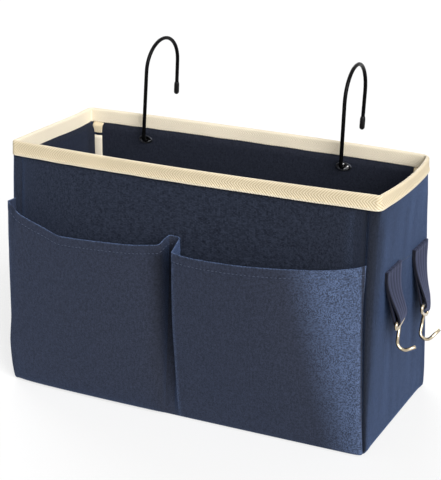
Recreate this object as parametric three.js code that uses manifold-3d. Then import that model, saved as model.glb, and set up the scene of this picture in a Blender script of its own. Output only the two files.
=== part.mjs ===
// Bedside caddy: a stiffened canvas box that hangs from a bed rail on two wire hooks.
// Units are millimetres. The origin is the middle of the base on the surface it stands on,
// +X is to the right of someone facing the pockets, +Y is towards the bed and +Z is up.

import * as THREE from 'three';
import { mergeVertices } from 'three/addons/utils/BufferGeometryUtils.js';
import Module from 'manifold-3d';

const wasm = await Module();
wasm.setup();

// Box, measured outside the canvas
const bodyWidth = 332;
const rimDepth = 118;
const baseDepth = 150;
const bodyHeight = 214.6;
const cornerRadius = 5;
const seamInset = 8;

// Layers of a wall, from the outside in, and the air left between sewn layers
const canvasThickness = 1;
const boardThickness = 2;
const liningThickness = 0.8;
const baseBoardThickness = 2.5;
const layerGap = 0.3;

// Tapes
const tapeThickness = 0.8;
const rimTapeOutside = 12.6;
const rimTapeInside = 9.5;
const cornerTapeWidth = 8;
const cornerTapeInset = 2.5;

// Pockets: one strip of canvas with a pleat at the left of each pocket
const pocketSeamX = -8.8;
const pocketSeamWidth = 8.4;
const pocketSeamHeight = 157;
const leftPocketEndHeight = 166;
const leftFoldHeight = 164.5;
const leftFoldShift = -5;
const leftFoldDepth = 11;
const leftPocketBulge = 5;
const leftPocketFullness = 0.5;
const leftPocketEndTurn = 60;
const leftPleatFlatWidth = 2.5;
const leftHemSag = 17;
const leftHemSkew = 0.66;
const rightPocketEndHeight = 158.6;
const rightFoldHeight = 151;
const rightFoldShift = 4.6;
const rightFoldDepth = 22.5;
const rightPocketBulge = 4;
const rightPocketFullness = 1;
const rightPocketEndTurn = 4.5;
const rightPleatFlatWidth = 4.6;
const rightHemSag = 2.5;
const rightHemSkew = 1;
const pocketFootBulge = 3;

// Eyelets in the back wall
const eyeletLeftX = -103;
const eyeletRightX = 90;
const eyeletBelowTape = 0.4;
const eyeletBoreRadius = 4.25;
const eyeletBarrelThickness = 0.6;
const eyeletFlangeRadius = 6.4;
const eyeletFlangeThickness = 1;
const eyeletLipRadius = 5.4;
const eyeletLipThickness = 0.7;
const eyeletWasherRadius = 5.7;
const eyeletWasherThickness = 0.8;

// Hanging hooks of round wire
const hookWireRadius = 1.5;
const hookBendRadius = 4;
const hookArchRadius = 27.5;
const hookLeftRise = 87.5;
const hookRightRise = 82;
const hookTipReach = 57;
const hookTipInward = 2.5;
const hookStopRise = 9;
const hookClearance = 0.4;
const hookLeftLean = 4;
const hookRightLean = 1.8;
const hookLeftTurn = 3.9;
const hookRightTurn = -2.7;
const capRadius = 2.4;
const capLength = 12;
const capGrip = 8;
const capNeckLength = 2.5;

// Webbing loops on the right side, with their wire hooks
const strapWidth = 33;
const strapThickness = 1.4;
const strapSewnLength = 6;
const strapBow = 0.5;
const strapFoldOut = 7.5;
const strapFoldPull = 0.8;
const strapBowPull = 0.55;
const strapFoldTurn = 10;
const frontStrapInset = 37.04;
const frontStrapTop = 147;
const frontStrapLength = 41.5;
const frontStrapTilt = 9;
const rearStrapInset = 25.286;
const rearStrapTop = 143.7;
const rearStrapLength = 54;
const rearStrapTilt = 26;
const snapWireRadius = 1.3;
const snapBailCorner = 2.6;
const snapBailSide = 1.2;
const snapBailDrop = 6;
const snapShankDrop = 15;
const snapCurveRadius = 6;
const snapTipLength = 10;
const frontSnapSweep = 125;
const frontSnapHang = 10;
const rearSnapSweep = 147;
const rearSnapHang = 5;

// Facets
const cornerSegments = 5;
const wireSides = 10;
const bendSteps = 5;
const archSteps = 18;
const roundSegments = 24;
const pocketLevels = 10;
const pocketFaceSteps = 16;
const strapCurveSteps = 8;

// Worked out from the sizes above
const halfWidth = bodyWidth / 2;
const halfRimDepth = rimDepth / 2;
const splaySlope = (baseDepth - rimDepth) / 2 / bodyHeight;
const wallTilt = Math.atan(splaySlope);
const boardInset = canvasThickness + layerGap;
const liningInset = boardInset + boardThickness + layerGap;
const wallThickness = liningInset + liningThickness;
const wallBottom = canvasThickness + layerGap;
const liningBottom = wallBottom + baseBoardThickness + layerGap;
const wallTop = bodyHeight - tapeThickness - layerGap;
const sideSign = { left: -1, right: 1 };

const navyCanvas = new THREE.MeshStandardMaterial({ color: 0x2f3a50, roughness: 0.92, metalness: 0 });
const navyLining = new THREE.MeshStandardMaterial({ color: 0x20242f, roughness: 0.95, metalness: 0 });
const greyBoard = new THREE.MeshStandardMaterial({ color: 0x8d8a84, roughness: 0.9, metalness: 0 });
const creamTape = new THREE.MeshStandardMaterial({ color: 0xe8dcc0, roughness: 0.9, metalness: 0 });
const blackWire = new THREE.MeshStandardMaterial({ color: 0x0b0b0c, roughness: 0.3, metalness: 0 });
const blackVinyl = new THREE.MeshStandardMaterial({ color: 0x101011, roughness: 0.45, metalness: 0 });
const gunmetal = new THREE.MeshStandardMaterial({ color: 0x3d4046, roughness: 0.35, metalness: 1 });
const charcoalWebbing = new THREE.MeshStandardMaterial({ color: 0x2f313c, roughness: 0.9, metalness: 0 });
const paleGold = new THREE.MeshStandardMaterial({ color: 0xd9c7a6, roughness: 0.25, metalness: 1 });

const caddy = new THREE.Group();

function addPart(parent, name, geometry, material) {
  geometry.computeVertexNormals();
  const mesh = new THREE.Mesh(geometry, material);
  mesh.name = name;
  parent.add(mesh);
}

// Solids for cutting and joining

function toSolid(geometry) {
  const bare = geometry.clone();
  bare.deleteAttribute('normal');
  bare.deleteAttribute('uv');
  const welded = mergeVertices(bare);
  return new wasm.Manifold(new wasm.Mesh({
    numProp: 3,
    vertProperties: new Float32Array(welded.attributes.position.array),
    triVerts: new Uint32Array(welded.index.array),
  }));
}

function fromSolid(solid) {
  const mesh = solid.getMesh();
  const geometry = new THREE.BufferGeometry();
  geometry.setAttribute('position', new THREE.BufferAttribute(mesh.vertProperties, 3));
  geometry.setIndex(new THREE.BufferAttribute(mesh.triVerts, 1));
  return geometry;
}

// Walls: outlines are drawn at the rim and lean outwards towards the deeper base

function splayAt(z) {
  return splaySlope * (bodyHeight - z);
}

function splayedWall(outline, bottom, top) {
  const settings = { depth: top - bottom, bevelEnabled: false, curveSegments: cornerSegments };
  const geometry = new THREE.ExtrudeGeometry(outline, settings);
  geometry.translate(0, 0, bottom);
  const position = geometry.attributes.position;
  for (let i = 0; i < position.count; i += 1) {
    const y = position.getY(i);
    position.setY(i, y + Math.sign(y) * splayAt(position.getZ(i)));
  }
  return geometry;
}

function rectangle(x0, x1, y0, y1) {
  const outline = new THREE.Shape();
  outline.moveTo(x0, y0);
  outline.lineTo(x1, y0);
  outline.lineTo(x1, y1);
  outline.lineTo(x0, y1);
  outline.closePath();
  return outline;
}

function rimOutline(inset, Outline) {
  const a = halfWidth - inset;
  const b = halfRimDepth - inset;
  const r = Math.max(cornerRadius - inset, layerGap);
  const outline = new Outline();
  outline.moveTo(a, r - b);
  outline.lineTo(a, b - r);
  outline.absarc(a - r, b - r, r, 0, Math.PI / 2, false);
  outline.lineTo(r - a, b);
  outline.absarc(r - a, b - r, r, Math.PI / 2, Math.PI, false);
  outline.lineTo(-a, r - b);
  outline.absarc(r - a, r - b, r, Math.PI, Math.PI * 1.5, false);
  outline.lineTo(a - r, -b);
  outline.absarc(a - r, r - b, r, Math.PI * 1.5, Math.PI * 2, false);
  return outline;
}

function rimRing(outerInset, innerInset) {
  const ring = rimOutline(outerInset, THREE.Shape);
  ring.holes.push(rimOutline(innerInset, THREE.Path));
  return ring;
}

// The side panel wraps both corners and ends at the seams on the front and back faces.
function sideCanvasOutline(side) {
  const x = halfWidth - cornerRadius;
  const y = halfRimDepth - cornerRadius;
  const seamX = halfWidth - seamInset + layerGap / 2;
  const inner = cornerRadius - canvasThickness;
  const outline = new THREE.Shape();
  outline.moveTo(seamX, -halfRimDepth);
  outline.lineTo(x, -halfRimDepth);
  outline.absarc(x, -y, cornerRadius, -Math.PI / 2, 0, false);
  outline.lineTo(halfWidth, y);
  outline.absarc(x, y, cornerRadius, 0, Math.PI / 2, false);
  outline.lineTo(seamX, halfRimDepth);
  outline.lineTo(seamX, halfRimDepth - canvasThickness);
  outline.lineTo(x, halfRimDepth - canvasThickness);
  outline.absarc(x, y, inner, Math.PI / 2, 0, true);
  outline.lineTo(halfWidth - canvasThickness, -y);
  outline.absarc(x, -y, inner, 0, -Math.PI / 2, true);
  outline.lineTo(seamX, canvasThickness - halfRimDepth);
  const points = outline.getPoints(cornerSegments);
  return new THREE.Shape(points.map((point) => new THREE.Vector2(side * point.x, point.y)));
}

// A flat layer of the front or back wall; facing is -1 for the front and 1 for the back.
function longLayer(facing, halfLength, inset, thickness, bottom, top) {
  const outer = facing * (halfRimDepth - inset);
  const inner = facing * (halfRimDepth - inset - thickness);
  const outline = rectangle(-halfLength, halfLength, Math.min(outer, inner), Math.max(outer, inner));
  return splayedWall(outline, bottom, top);
}

function sideLayer(side, halfLength, inset, thickness, bottom, top) {
  const outer = side * (halfWidth - inset);
  const inner = side * (halfWidth - inset - thickness);
  const outline = rectangle(Math.min(outer, inner), Math.max(outer, inner), -halfLength, halfLength);
  return splayedWall(outline, bottom, top);
}

// Eyelets sit square to the back wall, centred in its thickness

const eyelets = { left: eyeletLeftX, right: eyeletRightX };
const eyeletHeight = bodyHeight - rimTapeOutside - eyeletBelowTape - eyeletWasherRadius;
const eyeletBarrelRadius = eyeletBoreRadius + eyeletBarrelThickness;
const eyeletY = halfRimDepth + splayAt(eyeletHeight) - wallThickness / 2;
const eyeletFace = wallThickness / 2 * Math.cos(wallTilt) + layerGap;
const eyeletLipStart = eyeletFace + eyeletWasherThickness + layerGap;
const eyeletOutside = eyeletLipStart + eyeletLipThickness;
const eyeletInside = eyeletFace + eyeletFlangeThickness;

function placedOnBackWall(geometry, x) {
  geometry.rotateX(wallTilt);
  geometry.translate(x, eyeletY, eyeletHeight);
  return geometry;
}

function withEyeletHoles(geometry) {
  let solid = toSolid(geometry);
  for (const x of Object.values(eyelets)) {
    const radius = eyeletBarrelRadius + layerGap;
    const hole = new THREE.CylinderGeometry(radius, radius, wallThickness * 3, roundSegments);
    solid = solid.subtract(toSolid(placedOnBackWall(hole, x)));
  }
  return fromSolid(solid);
}

function revolved(profile) {
  const points = profile.map(([radius, along]) => new THREE.Vector2(radius, along));
  return new THREE.LatheGeometry(points, roundSegments);
}

function eyeletGeometry() {
  const roundOff = eyeletFlangeThickness / 2;
  return revolved([
    [eyeletBoreRadius, -eyeletInside],
    [eyeletFlangeRadius - roundOff, -eyeletInside],
    [eyeletFlangeRadius, roundOff - eyeletInside],
    [eyeletFlangeRadius, -eyeletFace],
    [eyeletBarrelRadius, -eyeletFace],
    [eyeletBarrelRadius, eyeletLipStart],
    [eyeletLipRadius, eyeletLipStart],
    [eyeletLipRadius - eyeletLipThickness / 2, eyeletOutside],
    [eyeletBoreRadius, eyeletOutside],
    [eyeletBoreRadius, -eyeletInside],
  ]);
}

function eyeletWasherGeometry() {
  const hole = eyeletBarrelRadius + layerGap;
  return revolved([
    [hole, eyeletFace],
    [eyeletWasherRadius, eyeletFace],
    [eyeletWasherRadius - eyeletWasherThickness / 2, eyeletFace + eyeletWasherThickness],
    [hole, eyeletFace + eyeletWasherThickness],
    [hole, eyeletFace],
  ]);
}

// Round wire bent in one plane: rings along the route, square to it

function arcPoints(centre, radius, from, to, steps) {
  const points = [];
  for (let i = 0; i <= steps; i += 1) {
    const angle = from + (to - from) * i / steps;
    points.push(new THREE.Vector2(centre.x + radius * Math.cos(angle), centre.y + radius * Math.sin(angle)));
  }
  return points;
}

// The route lies in a plane: its first coordinate runs along acrossAxis and its second up +Z.
function bentWire(route, radius, acrossAxis, closed) {
  const count = route.length;
  const planeNormal = new THREE.Vector3().crossVectors(acrossAxis, new THREE.Vector3(0, 0, 1));
  const positions = [];
  for (let i = 0; i < count; i += 1) {
    const before = route[closed ? (i + count - 1) % count : Math.max(i - 1, 0)];
    const after = route[closed ? (i + 1) % count : Math.min(i + 1, count - 1)];
    const tangent = after.clone().sub(before).normalize();
    for (let k = 0; k < wireSides; k += 1) {
      const turn = Math.PI * 2 * k / wireSides;
      const inPlane = new THREE.Vector2(-tangent.y, tangent.x).multiplyScalar(radius * Math.cos(turn));
      const point = acrossAxis.clone().multiplyScalar(route[i].x + inPlane.x);
      point.addScaledVector(planeNormal, radius * Math.sin(turn));
      point.z += route[i].y + inPlane.y;
      positions.push(point.x, point.y, point.z);
    }
  }
  const triangles = [];
  const spans = closed ? count : count - 1;
  for (let i = 0; i < spans; i += 1) {
    const ring = i * wireSides;
    const next = ((i + 1) % count) * wireSides;
    for (let k = 0; k < wireSides; k += 1) {
      const step = (k + 1) % wireSides;
      triangles.push(ring + k, ring + step, next + step, ring + k, next + step, next + k);
    }
  }
  if (!closed) {
    const last = (count - 1) * wireSides;
    for (let k = 1; k < wireSides - 1; k += 1) {
      triangles.push(0, k + 1, k, last, last + k, last + k + 1);
    }
  }
  const geometry = new THREE.BufferGeometry();
  geometry.setAttribute('position', new THREE.Float32BufferAttribute(positions, 3));
  geometry.setIndex(triangles);
  return geometry;
}

// Hanging hook: a stop behind the wall, the run through the eyelet, a leg, an arch and a tip

const eyeletLength = eyeletInside + eyeletOutside;
const hookSlack = eyeletLength / 2 * Math.tan(wallTilt);
const hookDrop = eyeletBoreRadius - hookWireRadius - layerGap - hookSlack;
const rimInnerY = halfRimDepth - wallThickness - layerGap - tapeThickness;
const hookLegY = rimInnerY - hookClearance - hookWireRadius - eyeletY;
const hookStopY = eyeletOutside + hookClearance + hookWireRadius;

function hookRoute(rise) {
  const quarter = Math.PI / 2;
  const archCentre = new THREE.Vector2(hookLegY + hookArchRadius, rise + hookDrop - hookArchRadius);
  const tipX = archCentre.x + hookArchRadius;
  const stopCentre = new THREE.Vector2(hookStopY - hookBendRadius, hookBendRadius);
  const legCentre = new THREE.Vector2(hookLegY + hookBendRadius, hookBendRadius);
  return [
    new THREE.Vector2(hookStopY, hookStopRise),
    ...arcPoints(stopCentre, hookBendRadius, 0, -quarter, bendSteps),
    ...arcPoints(legCentre, hookBendRadius, -quarter, -2 * quarter, bendSteps),
    ...arcPoints(archCentre, hookArchRadius, 2 * quarter, 0, archSteps),
    new THREE.Vector2(tipX - hookTipInward, rise + hookDrop - hookTipReach),
  ];
}

function capGeometry() {
  const hole = hookWireRadius + layerGap;
  const profile = [
    [0, capLength - capGrip],
    [hole, capLength - capGrip],
    [hole, capLength],
    [(hole + capRadius) / 2, capLength],
    [capRadius, capLength - capNeckLength],
    [capRadius, capRadius],
  ];
  for (let i = 1; i <= bendSteps; i += 1) {
    const angle = Math.PI / 2 * i / bendSteps;
    profile.push([capRadius * Math.cos(angle), capRadius * (1 - Math.sin(angle))]);
  }
  profile[profile.length - 1] = [0, 0];
  const cap = revolved(profile.reverse());
  cap.rotateX(Math.PI / 2);
  return cap;
}

function addHook(side, rise, lean, turn) {
  const hook = new THREE.Group();
  hook.position.set(eyelets[side], eyeletY, eyeletHeight - hookDrop);
  hook.rotation.set(0, THREE.MathUtils.degToRad(lean), THREE.MathUtils.degToRad(-turn), 'ZYX');
  const route = hookRoute(rise);
  const alongY = new THREE.Vector3(0, 1, 0);
  addPart(hook, `hanger_hook_${side}`, bentWire(route, hookWireRadius, alongY, false), blackWire);

  const end = route[route.length - 1];
  const tip = new THREE.Group();
  tip.position.set(0, end.x, end.y);
  tip.rotation.x = -Math.atan2(hookTipInward, hookTipReach - hookArchRadius);
  const cap = capGeometry();
  cap.translate(0, 0, capGrip - capLength - layerGap);
  addPart(tip, `hook_cap_${side}`, cap, blackVinyl);
  hook.add(tip);
  caddy.add(hook);
}

// Pocket strip: a pleat stands off the wall at the left of each pocket and the hem sags between seams

// endTurn sets how late the face turns in to its end seam, and skew moves the lowest point of the hem.
function pocketFacePoint(pocket, along) {
  const foldX = pocket.startX + pocket.foldShift;
  const flatFoldX = pocket.startX + pocket.pleatFlatWidth;
  const stand = pocket.foldDepth + pocket.bulge * arch(along);
  return {
    x: foldX + (pocket.endX - foldX) * along,
    flatX: flatFoldX + (pocket.endX - flatFoldX) * along,
    out: stand * (1 - along ** pocket.endTurn),
    height: pocket.foldHeight + (pocket.endHeight - pocket.foldHeight) * along
      - pocket.sag * arch(along ** pocket.skew),
  };
}

// 0 at both ends and 1 in the middle
function arch(along) {
  return 4 * along * (1 - along);
}

// The points of a face lie closer together towards its end seam, where it turns in.
function pocketHem(pocket) {
  const hem = [{ x: pocket.startX, flatX: pocket.startX, out: 0, height: pocket.startHeight }];
  for (let i = 0; i <= pocketFaceSteps; i += 1) {
    hem.push(pocketFacePoint(pocket, Math.sin(Math.PI / 2 * i / pocketFaceSteps)));
  }
  return hem.map((point) => ({ ...point, fullness: pocket.fullness }));
}

// The strip's lower edge bows out over the edge of the base, most towards the left.
function pocketFootOut(x, share) {
  const seamX = halfWidth - seamInset;
  const along = Math.sqrt(THREE.MathUtils.clamp((x + seamX) / (2 * seamX), 0, 1));
  return pocketFootBulge * arch(along) * (1 - share) ** 2;
}

function pocketStripGeometry() {
  const seamX = halfWidth - seamInset;
  const left = {
    startX: -seamX,
    endX: pocketSeamX - pocketSeamWidth / 2,
    startHeight: leftPocketEndHeight,
    endHeight: pocketSeamHeight,
    foldHeight: leftFoldHeight,
    foldShift: leftFoldShift,
    foldDepth: leftFoldDepth,
    bulge: leftPocketBulge,
    fullness: leftPocketFullness,
    endTurn: leftPocketEndTurn,
    pleatFlatWidth: leftPleatFlatWidth,
    sag: leftHemSag,
    skew: leftHemSkew,
  };
  const right = {
    startX: pocketSeamX + pocketSeamWidth / 2,
    endX: seamX,
    startHeight: pocketSeamHeight,
    endHeight: rightPocketEndHeight,
    foldHeight: rightFoldHeight,
    foldShift: rightFoldShift,
    foldDepth: rightFoldDepth,
    bulge: rightPocketBulge,
    fullness: rightPocketFullness,
    endTurn: rightPocketEndTurn,
    pleatFlatWidth: rightPleatFlatWidth,
    sag: rightHemSag,
    skew: rightHemSkew,
  };
  const hem = [...pocketHem(left), ...pocketHem(right)];
  const count = hem.length;
  const positions = [];
  for (let level = 0; level <= pocketLevels; level += 1) {
    const share = level / pocketLevels;
    const plan = hem.map(({ x, flatX, out, fullness }) => {
      const swell = Math.sin(Math.PI / 2 * share) ** fullness;
      const levelX = flatX + (x - flatX) * swell;
      return new THREE.Vector2(levelX, out * swell + pocketFootOut(levelX, share));
    });
    for (let i = 0; i < count; i += 1) {
      const before = plan[Math.max(i - 1, 0)];
      const after = plan[Math.min(i + 1, count - 1)];
      const tangent = after.clone().sub(before).normalize();
      const z = wallBottom + (hem[i].height - wallBottom) * share;
      const wallY = -halfRimDepth - splayAt(z) - layerGap;
      const frontX = plan[i].x - tangent.y * canvasThickness;
      const frontOut = Math.max(plan[i].y + tangent.x * canvasThickness, 0);
      positions.push(plan[i].x, wallY - plan[i].y, z, frontX, wallY - frontOut, z);
    }
  }
  return sheetGeometry(positions, count, pocketLevels);
}

// Closes a grid of back and front points, laid out level by level, into one thin sheet.
function sheetGeometry(positions, count, levels) {
  const triangles = [];
  const quad = (a, b, c, d) => triangles.push(a, b, c, a, c, d);
  const back = (level, i) => 2 * (level * count + i);
  const front = (level, i) => back(level, i) + 1;
  for (let level = 0; level < levels; level += 1) {
    const up = level + 1;
    for (let i = 0; i < count - 1; i += 1) {
      quad(front(level, i), front(level, i + 1), front(up, i + 1), front(up, i));
      quad(back(level, i + 1), back(level, i), back(up, i), back(up, i + 1));
    }
    quad(back(level, 0), front(level, 0), front(up, 0), back(up, 0));
    quad(front(level, count - 1), back(level, count - 1), back(up, count - 1), front(up, count - 1));
  }
  for (let i = 0; i < count - 1; i += 1) {
    quad(back(0, i), back(0, i + 1), front(0, i + 1), front(0, i));
    quad(front(levels, i), front(levels, i + 1), back(levels, i + 1), back(levels, i));
  }
  const geometry = new THREE.BufferGeometry();
  geometry.setAttribute('position', new THREE.Float32BufferAttribute(positions, 3));
  geometry.setIndex(triangles);
  return geometry;
}

// Webbing loop: sewn double at its top, open below, folded round the bar of its hook

const strapBarRadius = snapWireRadius + layerGap;
const strapFoldRadius = strapBarRadius + strapThickness;

// How far the loop and its hook are turned, at a share of the way down to the fold
function strapTurn(tilt, hang, down) {
  const tiltAngle = THREE.MathUtils.degToRad(-tilt * down);
  const hangAngle = THREE.MathUtils.degToRad(hang);
  const turnAngle = THREE.MathUtils.degToRad(strapFoldTurn * down);
  return new THREE.Euler(tiltAngle, hangAngle, turnAngle, 'ZXY');
}

// The webbing is askew: towards the fold its front edge hangs higher and stands further out.
function strapGeometry(length, tilt) {
  const t = strapThickness;
  const sewn = -strapSewnLength;
  const outline = new THREE.Shape();
  outline.moveTo(t, sewn);
  outline.lineTo(t, 0);
  outline.absarc(0, 0, t, 0, Math.PI, false);
  outline.lineTo(-t, sewn);
  outline.lineTo(strapFoldOut - strapFoldRadius, -length);
  outline.absarc(strapFoldOut, -length, strapFoldRadius, Math.PI, Math.PI * 2, false);
  const outerX = strapFoldOut + strapFoldRadius;
  const foldPull = -length * strapFoldPull;
  const bowPull = -length * strapBowPull;
  outline.bezierCurveTo(outerX, foldPull, t + strapBow, bowPull, t, sewn);

  const inside = new THREE.Path();
  const split = sewn - t;
  inside.moveTo(0, split);
  inside.lineTo(strapFoldOut - strapBarRadius, -length);
  inside.absarc(strapFoldOut, -length, strapBarRadius, Math.PI, Math.PI * 2, false);
  inside.bezierCurveTo(outerX - t, foldPull, strapBow, bowPull, 0, split);
  outline.holes.push(inside);

  const settings = { depth: strapWidth, bevelEnabled: false, curveSegments: strapCurveSteps };
  const strap = new THREE.ExtrudeGeometry(outline, settings);
  strap.translate(0, 0, -strapWidth / 2);
  strap.rotateX(Math.PI / 2);
  const position = strap.attributes.position;
  for (let i = 0; i < position.count; i += 1) {
    const point = new THREE.Vector3().fromBufferAttribute(position, i);
    const belowSewn = -point.z - strapSewnLength;
    const down = THREE.MathUtils.clamp(belowSewn / (length - strapSewnLength), 0, 1);
    const middle = new THREE.Vector3(strapFoldOut * down, 0, Math.max(point.z, -length));
    point.sub(middle).applyEuler(strapTurn(tilt, 0, down)).add(middle);
    position.setXYZ(i, point.x, point.y, point.z);
  }
  return strap;
}

// Wire hook: a triangular bail through the strap's fold and a shank that curves outwards
function snapHookGeometry(sweep) {
  const corner = snapBailCorner;
  const halfBar = strapWidth / 2 + snapBailSide + snapWireRadius;
  const bail = [];
  const quarter = Math.PI / 2;
  const sideDrop = strapFoldRadius + layerGap + snapWireRadius;
  const rightEnd = new THREE.Vector2(halfBar - corner, -corner);
  const leftEnd = new THREE.Vector2(corner - halfBar, -corner);
  bail.push(...arcPoints(rightEnd, corner, quarter, 0, bendSteps));
  bail.push(new THREE.Vector2(halfBar, -sideDrop));
  bail.push(new THREE.Vector2(corner, -snapBailDrop));
  bail.push(new THREE.Vector2(-corner, -snapBailDrop));
  bail.push(new THREE.Vector2(-halfBar, -sideDrop));
  bail.push(...arcPoints(leftEnd, corner, 2 * quarter, quarter, bendSteps));
  const loop = toSolid(bentWire(bail, snapWireRadius, new THREE.Vector3(0, 1, 0), true));

  const curveCentre = new THREE.Vector2(snapCurveRadius, -snapBailDrop - snapShankDrop);
  const curveEnd = Math.PI + THREE.MathUtils.degToRad(sweep);
  const curve = arcPoints(curveCentre, snapCurveRadius, Math.PI, curveEnd, archSteps);
  const tipDirection = new THREE.Vector2(-Math.sin(curveEnd), Math.cos(curveEnd));
  const tip = curve[archSteps].clone().addScaledVector(tipDirection, snapTipLength);
  const shank = [new THREE.Vector2(0, -snapBailDrop), ...curve, tip];
  return fromSolid(loop.add(toSolid(bentWire(shank, snapWireRadius, new THREE.Vector3(1, 0, 0), false))));
}

function addStrap(place, y, top, length, tilt, sweep, hang) {
  const strap = new THREE.Group();
  strap.position.set(halfWidth + layerGap + strapThickness, y, top - strapThickness);
  addPart(strap, `strap_${place}`, strapGeometry(length, tilt), charcoalWebbing);
  const hook = new THREE.Group();
  hook.position.set(strapFoldOut, 0, -length);
  hook.rotation.copy(strapTurn(tilt, hang, 1));
  addPart(hook, `strap_hook_${place}`, snapHookGeometry(sweep), paleGold);
  strap.add(hook);
  caddy.add(strap);
}

// Canvas, board and lining of the box

const longCanvasHalf = halfWidth - seamInset - layerGap / 2;
const longBoardHalf = halfWidth - cornerRadius;
const sideBoardHalf = halfRimDepth - cornerRadius;
const longLiningHalf = halfWidth - wallThickness - layerGap;
const sideLiningHalf = halfRimDepth - liningInset;

const frontCanvas = longLayer(-1, longCanvasHalf, 0, canvasThickness, wallBottom, wallTop);
addPart(caddy, 'front_canvas', frontCanvas, navyCanvas);
const frontBoard = longLayer(-1, longBoardHalf, boardInset, boardThickness, wallBottom, wallTop);
addPart(caddy, 'front_board', frontBoard, greyBoard);
const frontLining = longLayer(-1, longLiningHalf, liningInset, liningThickness, liningBottom, wallTop);
addPart(caddy, 'front_lining', frontLining, navyLining);

const backCanvas = longLayer(1, longCanvasHalf, 0, canvasThickness, wallBottom, wallTop);
addPart(caddy, 'back_canvas', withEyeletHoles(backCanvas), navyCanvas);
const backBoard = longLayer(1, longBoardHalf, boardInset, boardThickness, wallBottom, wallTop);
addPart(caddy, 'back_board', withEyeletHoles(backBoard), greyBoard);
const backLining = longLayer(1, longLiningHalf, liningInset, liningThickness, liningBottom, wallTop);
addPart(caddy, 'back_lining', withEyeletHoles(backLining), navyLining);

for (const [name, side] of Object.entries(sideSign)) {
  const canvas = splayedWall(sideCanvasOutline(side), wallBottom, wallTop);
  addPart(caddy, `${name}_canvas`, canvas, navyCanvas);
  const board = sideLayer(side, sideBoardHalf, boardInset, boardThickness, wallBottom, wallTop);
  addPart(caddy, `${name}_board`, board, greyBoard);
  const lining = sideLayer(side, sideLiningHalf, liningInset, liningThickness, liningBottom, wallTop);
  addPart(caddy, `${name}_lining`, lining, navyLining);
}

const baseCanvas = splayedWall(rimOutline(0, THREE.Shape), 0, canvasThickness);
addPart(caddy, 'base_canvas', baseCanvas, navyCanvas);
const baseBoardOutline = rimOutline(boardInset + boardThickness + layerGap, THREE.Shape);
const baseBoard = splayedWall(baseBoardOutline, wallBottom, wallBottom + baseBoardThickness);
addPart(caddy, 'base_board', baseBoard, greyBoard);
const baseLiningOutline = rimOutline(wallThickness + layerGap, THREE.Shape);
const baseLining = splayedWall(baseLiningOutline, liningBottom, liningBottom + liningThickness);
addPart(caddy, 'base_lining', baseLining, navyLining);

// Tapes: one folded over the rim, one down each inside corner

function rimBindingGeometry() {
  const outerInset = -layerGap - tapeThickness;
  const innerInset = wallThickness + layerGap + tapeThickness;
  const bottom = bodyHeight - rimTapeOutside;
  const belowTape = bottom - tapeThickness;
  const whole = splayedWall(rimRing(outerInset, innerInset), bottom, bodyHeight);
  const slotTop = bodyHeight - tapeThickness;
  const slot = splayedWall(rimRing(-layerGap, wallThickness + layerGap), belowTape, slotTop);
  const trimTop = bodyHeight - rimTapeInside;
  const trim = splayedWall(rimRing(wallThickness / 2, innerInset + tapeThickness), belowTape, trimTop);
  return fromSolid(toSolid(whole).subtract(toSolid(slot)).subtract(toSolid(trim)));
}

addPart(caddy, 'rim_binding', rimBindingGeometry(), creamTape);

const cornerTapeBottom = liningBottom + liningThickness + layerGap;
const cornerTapeTop = bodyHeight - rimTapeInside - layerGap;
for (const [facingName, facing] of Object.entries({ front: -1, back: 1 })) {
  for (const [name, side] of Object.entries(sideSign)) {
    const xOuter = side * (halfWidth - wallThickness - layerGap - cornerTapeInset);
    const xInner = xOuter - side * cornerTapeWidth;
    const yOuter = facing * (halfRimDepth - wallThickness - layerGap);
    const yInner = yOuter - facing * tapeThickness;
    const outline = rectangle(
      Math.min(xOuter, xInner),
      Math.max(xOuter, xInner),
      Math.min(yOuter, yInner),
      Math.max(yOuter, yInner),
    );
    const tape = splayedWall(outline, cornerTapeBottom, cornerTapeTop);
    addPart(caddy, `corner_binding_${facingName}_${name}`, tape, creamTape);
  }
}

addPart(caddy, 'pocket_strip', pocketStripGeometry(), navyCanvas);

for (const [side, x] of Object.entries(eyelets)) {
  addPart(caddy, `eyelet_${side}`, placedOnBackWall(eyeletGeometry(), x), gunmetal);
  addPart(caddy, `eyelet_washer_${side}`, placedOnBackWall(eyeletWasherGeometry(), x), gunmetal);
}

addHook('left', hookLeftRise, hookLeftLean, hookLeftTurn);
addHook('right', hookRightRise, hookRightLean, hookRightTurn);

const frontStrapY = frontStrapInset - halfRimDepth - splayAt(frontStrapTop);
const rearStrapY = halfRimDepth + splayAt(rearStrapTop) - rearStrapInset;
addStrap(
  'front',
  frontStrapY,
  frontStrapTop,
  frontStrapLength,
  frontStrapTilt,
  frontSnapSweep,
  frontSnapHang,
);
addStrap('rear', rearStrapY, rearStrapTop, rearStrapLength, rearStrapTilt, rearSnapSweep, rearSnapHang);

export default caddy;
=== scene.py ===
# Bedside caddy: the cloth, tape, webbing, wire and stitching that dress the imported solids.
# Pieces are drawn in millimetres in the part's own frame and become metres when they are finished.

import math
from functools import partial

import bmesh
import bpy
from mathutils import Matrix, Vector, noise


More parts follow.
